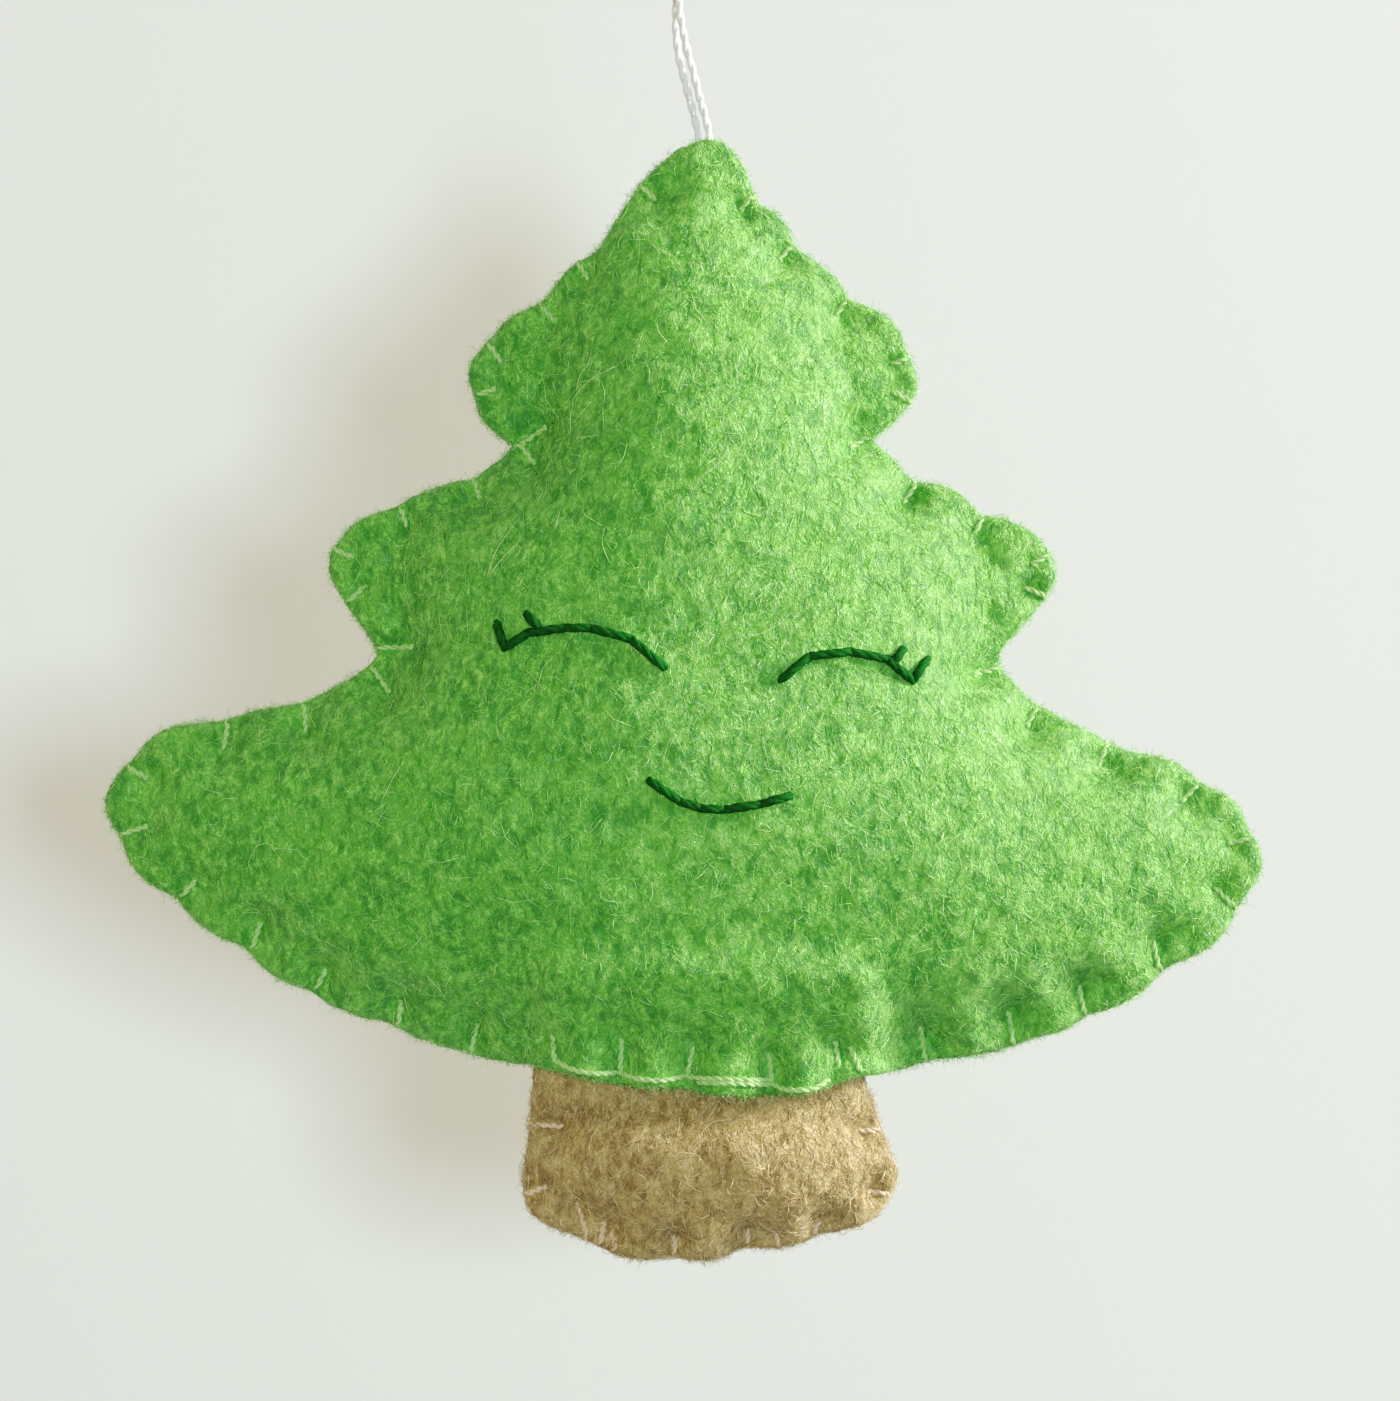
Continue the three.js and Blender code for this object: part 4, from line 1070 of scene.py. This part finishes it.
def backstitched(holes, surface, width, lay):
    """A row of stitches between the holes; each dives into the felt at both of its ends."""
    parts = []
    for a, b in zip(holes, holes[1:]):
        reach = np.linalg.norm(b - a)
        share = np.linspace(0, 1, max(int(reach / FLOSS_STEP), 4))[:, None]
        over = laid_on(surface, a + (b - a) * share, -1, -width / 2 + FLOSS_SINK)
        over[:, 1] -= FLOSS_ARCH * np.sin(np.pi * share[:, 0])
        over[[0, -1], 1] += FLOSS_DIP * width
        on = (b - a) / reach * FLOSS_ON
        ends = over[[0, -1]] + [(-on[0], FLOSS_DIVE, -on[1]), (on[0], FLOSS_DIVE, on[1])]
        path = smooth_path(np.vstack([ends[:1], over, ends[1:]]), lay / TWIST_STEPS)
        parts += twisted(path, width, lay, 3, FLOSS_BULK)
    return parts


for name, (node, holes_px) in FACE_PX.items():
    stitches = backstitched(from_photo(holes_px), tree_surfaces[-1], FLOSS, FLOSS_LAY)
    piece = new_piece(name + "_floss", stitches, floss)
    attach(piece, "ornament")
    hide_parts(node)

# Loose fibres stand off both felts. They lie nearly flat in every direction, most are short, and
# each has its own shade, which is kept in a UV map of narrow strips: palest in the last one.
FIBRE_SHADES = 8
STRIPS = "OFBake"


def fibre_finish(name, deep, pale):
    """A loose fibre's finish: its strip of the UV map picks its shade between the two colours."""
    material, nodes, links, shader = new_material(name)
    strip = add_node(nodes, "ShaderNodeUVMap", uv_map=STRIPS)
    part = add_node(nodes, "ShaderNodeSeparateXYZ")
    step = add_node(nodes, "ShaderNodeMath", operation="SNAP")
    step.inputs[1].default_value = 1 / FIBRE_SHADES
    spread = add_node(nodes, "ShaderNodeMapRange", From_Max=1 - 1 / FIBRE_SHADES)
    shade = add_node(nodes, "ShaderNodeMix", data_type="RGBA")
    shade.inputs[6].default_value = (*deep, 1)
    shade.inputs[7].default_value = (*pale, 1)
    wire(links, (strip, "UV", part, "Vector"), (part, "X", step, 0), (step, 0, spread, "Value"),
         (spread, 0, shade, 0), (shade, 2, shader, "Base Color"))
    shader.inputs["Roughness"].default_value = 0.36
    shader.inputs["Specular IOR Level"].default_value = 0.7
    return material


# Fibres grow from what faces outward, and more of them from what is turned to the side.
OUTSIDE = -0.35
TURNED = 0.6
TURNED_MORE = 1.4


def skin_places(piece, count, side, rng):
    """Random places on the outside of a sheet, in millimetres, with the way that each faces."""
    mesh = piece.data
    mesh.calc_loop_triangles()
    corners = read_rows(mesh.loop_triangles, "vertices", np.int32)
    a, b, c = read_rows(mesh.vertices, "co")[corners].transpose(1, 0, 2) / MILLIMETRE
    facing = np.cross(b - a, c - a)
    size = np.linalg.norm(facing, axis=1)
    facing /= np.maximum(size, TINY)[:, None]
    out = facing[:, 1] * side
    size = size * (out > OUTSIDE) * (1 + TURNED_MORE * (out < TURNED))
    chosen = rng.choice(len(size), count, p=size / size.sum())
    s, t = rng.random((2, count))
    over = s + t > 1
    s[over], t[over] = 1 - s[over], 1 - t[over]
    at = a[chosen] + (b - a)[chosen] * s[:, None] + (c - a)[chosen] * t[:, None]
    return at, facing[chosen]


HAIR_TIP = 0.5
STRIP_FROM = 0.1
STRIP_SIDE = 0.26
STRIP_MARGIN = 0.05


def strands(paths, radius, shades):
    """Closed three-sided hairs along paths of as many points each, and the UVs of their shades.
    All of a hair's corners lie well inside its shade's strip."""
    count, rings = paths.shape[:2]
    along = unit(np.gradient(paths, axis=1))
    across = unit(np.cross(along, SKEW))
    up = np.cross(along, across)
    turn = np.arange(3) * 2 * np.pi / 3
    ring = across[:, :, None] * np.cos(turn)[:, None] + up[:, :, None] * np.sin(turn)[:, None]
    taper = radius * np.linspace(1.0, HAIR_TIP, rings)[:, None, None]
    points = (paths[:, :, None] + ring * taper).reshape(-1, 3)
    faces, strips = [], []
    for row in range(rings - 1):
        for side in range(3):
            a, b = row * 3 + side, row * 3 + (side + 1) % 3
            faces.append((a, b, b + 3, a + 3))
            for k, up_by in ((0, 0), (1, 0), (1, 1), (0, 1)):
                strips.append((STRIP_FROM + STRIP_SIDE * (side + k), (row + up_by) / rings))
    last = (rings - 1) * 3
    faces += [(2, 1, 0), (last, last + 1, last + 2)]
    strips += [(0.2, 0.1), (0.8, 0.1), (0.5, 0.4)] * 2
    made = [tuple(i + hair * rings * 3 for i in face) for hair in range(count) for face in faces]
    strips = np.tile(np.array(strips), (count, 1)).reshape(count, -1, 2)
    strips[:, :, 0] = (strips[:, :, 0] + np.asarray(shades)[:, None]) / FIBRE_SHADES
    strips[:, :, 1] = STRIP_MARGIN + (1 - 2 * STRIP_MARGIN) * strips[:, :, 1]
    return (points, made), strips.reshape(-1, 2)


# A few of the fibres rise well clear and the rest hardly do. Most lean a little off the upright,
# the others lie any way. All bend, and their ends go back into the felt.
FUZZ_RADIUS = 0.028
FUZZ_REACH = 0.95
FUZZ_RISING = 0.16
FUZZ_HIGH = (0.2, 0.6)
FUZZ_LOW = (0.02, 0.16)
FUZZ_UPRIGHT = 0.72
FUZZ_LEAN = 0.5
FUZZ_ANY_LEAN = (-1.6, 1.6)
FUZZ_SCATTER = 0.05
FUZZ_BEND = 0.6
FUZZ_ROOT = 0.03
FUZZ_ARC = (0.12, 0.7)
FUZZ_LONG = (2.5, 0.4)
FUZZ_PALE = (1.9, 1.6)
LONG_FIBRE = 1.2


def hair_piece(name, parts, corners, material):
    """One piece of all the hairs given, with the strips of their shades as its UV map."""
    hairs = new_piece(name, parts, material)
    strips = hairs.data.uv_layers.new(name=STRIPS)
    strips.data.foreach_set("uv", np.vstack(corners).ravel())
    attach(hairs, "ornament")
    return hairs


def fuzz(name, piece, surface, side, count, material, seed, extra):
    """The loose fibres of one sheet, as one piece; most of them lie more or less upright."""
    rng = np.random.default_rng(seed)
    starts, facing = skin_places(piece, count, side, rng)
    lift = np.where(rng.random(count) < FUZZ_RISING, rng.uniform(*FUZZ_HIGH, count),
                    rng.uniform(*FUZZ_LOW, count))
    lean = np.where(rng.random(count) < FUZZ_UPRIGHT, rng.normal(0, FUZZ_LEAN, count),
                    rng.uniform(*FUZZ_ANY_LEAN, count))
    wanted = np.stack([np.sin(lean), np.zeros(count), np.cos(lean)], -1)
    wanted *= rng.choice([-1, 1], count)[:, None]
    way = wanted - facing * (wanted * facing).sum(1)[:, None]
    way = unit(way + FUZZ_SCATTER * rng.normal(size=way.shape))
    bend = np.cross(facing, way) * rng.normal(0, FUZZ_BEND, count)[:, None]
    long = FUZZ_REACH * rng.gamma(*FUZZ_LONG, count)
    paths = np.empty((count, 3, 3))
    for step, t in enumerate((0.0, 0.5, 1.0)):
        flat = starts + (way * t + bend * t * t) * long[:, None]
        for hair, at in enumerate(flat):
            spot, normal = surface.find_nearest(Vector(at))[:2]
            arc = math.sin(math.pi * (FUZZ_ARC[0] + FUZZ_ARC[1] * t))
            rise = lift[hair] * arc - FUZZ_ROOT
            paths[hair, step] = np.array(spot) + np.array(normal) * rise
    shades = np.minimum(rng.gamma(*FUZZ_PALE, count).astype(int), FIBRE_SHADES - 1)
    made = [strands(paths, FUZZ_RADIUS, shades)]
    for path in extra:
        made.append(strands(path[None], FUZZ_RADIUS * LONG_FIBRE, [FIBRE_SHADES - 1]))
    return hair_piece(name, *zip(*made), material)


# Out of the cut edges the fibres stand thinner, shorter and closer, and splay along the rim. They
# are drawn paler than the fibres on the faces: a painted halo of light through the edge.
RIM_HAIRS_PER_MM = 26
RIM_ROOT = 0.05
RIM_RISE = 0.24
RIM_SPLAY = 1.3
RIM_ACROSS = 0.9
RIM_REACH = 0.36
RIM_THIN = 0.7
RIM_LONG = (3.0, 0.33)
RIM_PAINTED_HALO = (2.4, 1.7)


def rim_fuzz(name, rims, top, material, seed):
    """Short fibres that stand out from the cut edges given, below that height, in one piece."""
    rng = np.random.default_rng(seed)
    made = []
    for rim in rims:
        ahead = np.roll(rim, -1, axis=0) - rim
        size = np.linalg.norm(ahead, axis=1)
        share = size * (rim[:, 2] < top)
        count = int(share.sum() * RIM_HAIRS_PER_MM)
        chosen = rng.choice(len(rim), count, p=share / share.sum())
        along = ahead[chosen] / size[chosen, None]
        outward = np.stack([along[:, 2], np.zeros(count), -along[:, 0]], -1)
        across = np.array([0.0, 1.0, 0.0]) * rng.uniform(-1, 1, count)[:, None]
        starts = rim[chosen] + ahead[chosen] * rng.random(count)[:, None]
        starts += across * FELT / 2
        starts += outward * (RIM_RISE * FELT * (1 - np.abs(across[:, 1:2])) - RIM_ROOT)
        splay = along * rng.normal(0, RIM_SPLAY, count)[:, None]
        way = unit(outward + splay + across * RIM_ACROSS)
        long = (RIM_REACH * rng.gamma(*RIM_LONG, count))[:, None]
        paths = np.stack([starts, starts + way * long], axis=1)
        # Paler shades than on the faces: a painted halo of light through the edge.
        shades = np.minimum(rng.gamma(*RIM_PAINTED_HALO, count).astype(int), FIBRE_SHADES - 1)
        made.append(strands(paths, FUZZ_RADIUS * RIM_THIN, shades))
    return hair_piece(name, *zip(*made), material)


LOOSE_STEP = 0.8
LOOSE_ENDS = 0.4
LOOSE_ARC = (0.3, 2.9)
TREE_HAIRS = 13500
TREE_LOOSE_LIFT = 0.5
TRUNK_HAIRS = 5200
TRUNK_LOOSE_LIFT = 0.4


def loose_fibre(points_px, surface, lift):
    """A single long fibre seen on the front, lying just off the surface."""
    flat = smooth_path(from_photo(points_px), LOOSE_STEP)
    over = laid_on(surface, flat, -1, 0.0)
    arc = np.sin(np.linspace(*LOOSE_ARC, len(over)))
    over[:, 1] -= lift * (LOOSE_ENDS + (1 - LOOSE_ENDS) * arc)
    return over


TREE_LOOSE_PX = [
    [(573, 412), (574, 402), (582, 391), (596, 380), (616, 370)],
    [(577, 394), (581, 378), (590, 366), (592, 352)],
    [(602, 384), (606, 396), (605, 407)],
    [(676, 402), (679, 388), (684, 374)],
    [(490, 578), (497, 556), (508, 538), (522, 519)],
    [(490, 580), (505, 560), (520, 545)],
    [(255, 872), (252, 862), (258, 848), (268, 840), (276, 846), (300, 848)],
    [(740, 640), (756, 636), (774, 628), (790, 614)],
    [(386, 800), (398, 776), (408, 760)],
    [(540, 690), (546, 668), (560, 654)],
    [(612, 566), (604, 548), (606, 530)],
    [(700, 480), (716, 470), (728, 452)],
]
TRUNK_LOOSE_PX = [
    [(592, 1154), (590, 1140), (598, 1124)],
    [(700, 1130), (712, 1118), (730, 1116)],
    [(800, 1170), (812, 1158), (814, 1142)],
]
green_fibre = fibre_finish("green_fibre", (0.1, 0.45, 0.02), (0.64, 1.0, 0.42))
brown_fibre = fibre_finish("brown_fibre", (0.45, 0.32, 0.12), (0.96, 0.82, 0.52))
for sheets, surfaces, count, seeds, loose_px, lift, fibre, slot in (
        ((tree_front, tree_back), tree_surfaces, TREE_HAIRS, (5, 6), TREE_LOOSE_PX,
         TREE_LOOSE_LIFT, green_fibre, "green_felt"),
        ((trunk_front, trunk_back), trunk_surfaces, TRUNK_HAIRS, (7, 8), TRUNK_LOOSE_PX,
         TRUNK_LOOSE_LIFT, brown_fibre, "brown_felt")):
    for sheet, side, seed in zip(sheets, (-1, 1), seeds):
        surface = surfaces[side]
        extra = [loose_fibre(points, surface, lift) for points in loose_px] if side < 0 else ()
        hairs = fuzz(sheet.name.replace("sheet", "fuzz"), sheet, surface, side, count, fibre,
                     seed, extra)
for name, rims, top, fibre, seed, slot in (
        ("tree_rim_fuzz", tree_rims, 0.0, green_fibre, 9, "green_felt"),
        ("trunk_rim_fuzz", trunk_rims, from_photo(FOOT_PX)[1], brown_fibre, 10, "brown_felt")):
    hairs = rim_fuzz(name, rims, top, fibre, seed)

# A wall and a floor of the same pale, plain board stand well clear of the swinging ornament. The
# wall shows from the front only, so that the back can be looked at too. The floor is far below,
# past the lamps' reach, so it glows a little to stay pale, and lights nothing.
WALL_BEHIND = 100
WALL_WIDE = 2500
WALL_HIGH = 1500
FLOOR_DOWN = -600
FLOOR_WIDE = 9000
FLOOR_GLOW = 0.8


def board(name, glow):
    """The finish of the pale board; it is clear when seen from its back."""
    material, nodes, links, shader = new_material(name)
    place = add_node(nodes, "ShaderNodeTexCoord")
    grain = add_node(nodes, "ShaderNodeTexNoise", Scale=9.0, Detail=3.0)
    tint = add_node(nodes, "ShaderNodeMix", data_type="RGBA")
    tint.inputs[6].default_value = (0.765, 0.782, 0.765, 1)
    tint.inputs[7].default_value = (0.795, 0.812, 0.795, 1)
    seen = add_node(nodes, "ShaderNodeNewGeometry")
    clear = add_node(nodes, "ShaderNodeBsdfTransparent")
    either = add_node(nodes, "ShaderNodeMixShader")
    wire(links, (place, "Object", grain, "Vector"), (grain, "Fac", tint, 0),
         (tint, 2, shader, "Base Color"), (tint, 2, shader, "Emission Color"),
         (seen, "Backfacing", either, 0), (shader, 0, either, 1), (clear, 0, either, 2),
         (either, 0, nodes["Material Output"], "Surface"))
    shader.inputs["Emission Strength"].default_value = glow
    shader.inputs["Roughness"].default_value = 0.9
    return material


for name, glow, middle, across, along in (
        ("wall", 0.0, (0, WALL_BEHIND, 0), (WALL_WIDE, 0, 0), (0, 0, WALL_HIGH)),
        ("floor", FLOOR_GLOW, (0, 0, FLOOR_DOWN), (FLOOR_WIDE, 0, 0), (0, FLOOR_WIDE, 0))):
    middle, across, along = np.array([middle, across, along], float)
    corners = np.array([middle - across - along, middle + across - along,
                        middle + across + along, middle - across + along])
    plane = new_piece(name, [(corners, [(0, 1, 2, 3)])], board(name + "_board", glow),
                      smooth=False)
    plane.visible_shadow = False
    plane.visible_diffuse = glow == 0
    plane.visible_glossy = glow == 0
    plane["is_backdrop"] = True

# Soft daylight comes from the upper right and front, with a weaker warm fill from the left. Each
# lamp is given as its place from the middle of the picture, its size, its power and its colour.
LIGHTS = {
    "key": ((0.95, -0.13, 0.36), 0.3, 24.5, (1.0, 0.955, 0.86)),
    "front": ((0.19, -1.0, 0.0), 0.16, 6.6, (0.66, 0.85, 1.0)),
    "fill": ((-0.88, -0.6, 0.25), 0.4, 2.1, (1.0, 0.76, 0.42)),
    "back": ((0.5, 0.6, -0.05), 0.4, 2.0, (1.0, 1.0, 0.95)),
}
for name, (stand, size, power, colour) in LIGHTS.items():
    lamp = bpy.data.lights.new(name, "AREA")
    lamp.shape = "DISK"
    lamp.size = size
    lamp.energy = power
    lamp.color = colour
    light = bpy.data.objects.new(name, lamp)
    light.location = Vector(stand) + Vector((middle_point[0], 0, middle_point[1]))
    light.rotation_euler = (-Vector(stand)).to_track_quat("-Z", "Y").to_euler()
    bpy.context.scene.collection.objects.link(light)

# The room lights the ornament with a low, warm light from all round, and where the camera sees
# past the wall's edge it is as pale as the wall.
room = bpy.data.worlds.new("room")
bpy.context.scene.world = room
room.use_nodes = True
nodes, links = room.node_tree.nodes, room.node_tree.links
nodes["Background"].inputs["Color"].default_value = (1.0, 0.88, 0.68, 1)
nodes["Background"].inputs["Strength"].default_value = 0.32
shown = add_node(nodes, "ShaderNodeBackground", Color=(0.8, 0.8, 0.78, 1), Strength=1.1)
path = add_node(nodes, "ShaderNodeLightPath")
either = add_node(nodes, "ShaderNodeMixShader")
wire(links, (path, "Is Camera Ray", either, 0), (nodes["Background"], 0, either, 1),
     (shown, 0, either, 2), (either, 0, nodes["World Output"], "Surface"))

low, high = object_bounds()
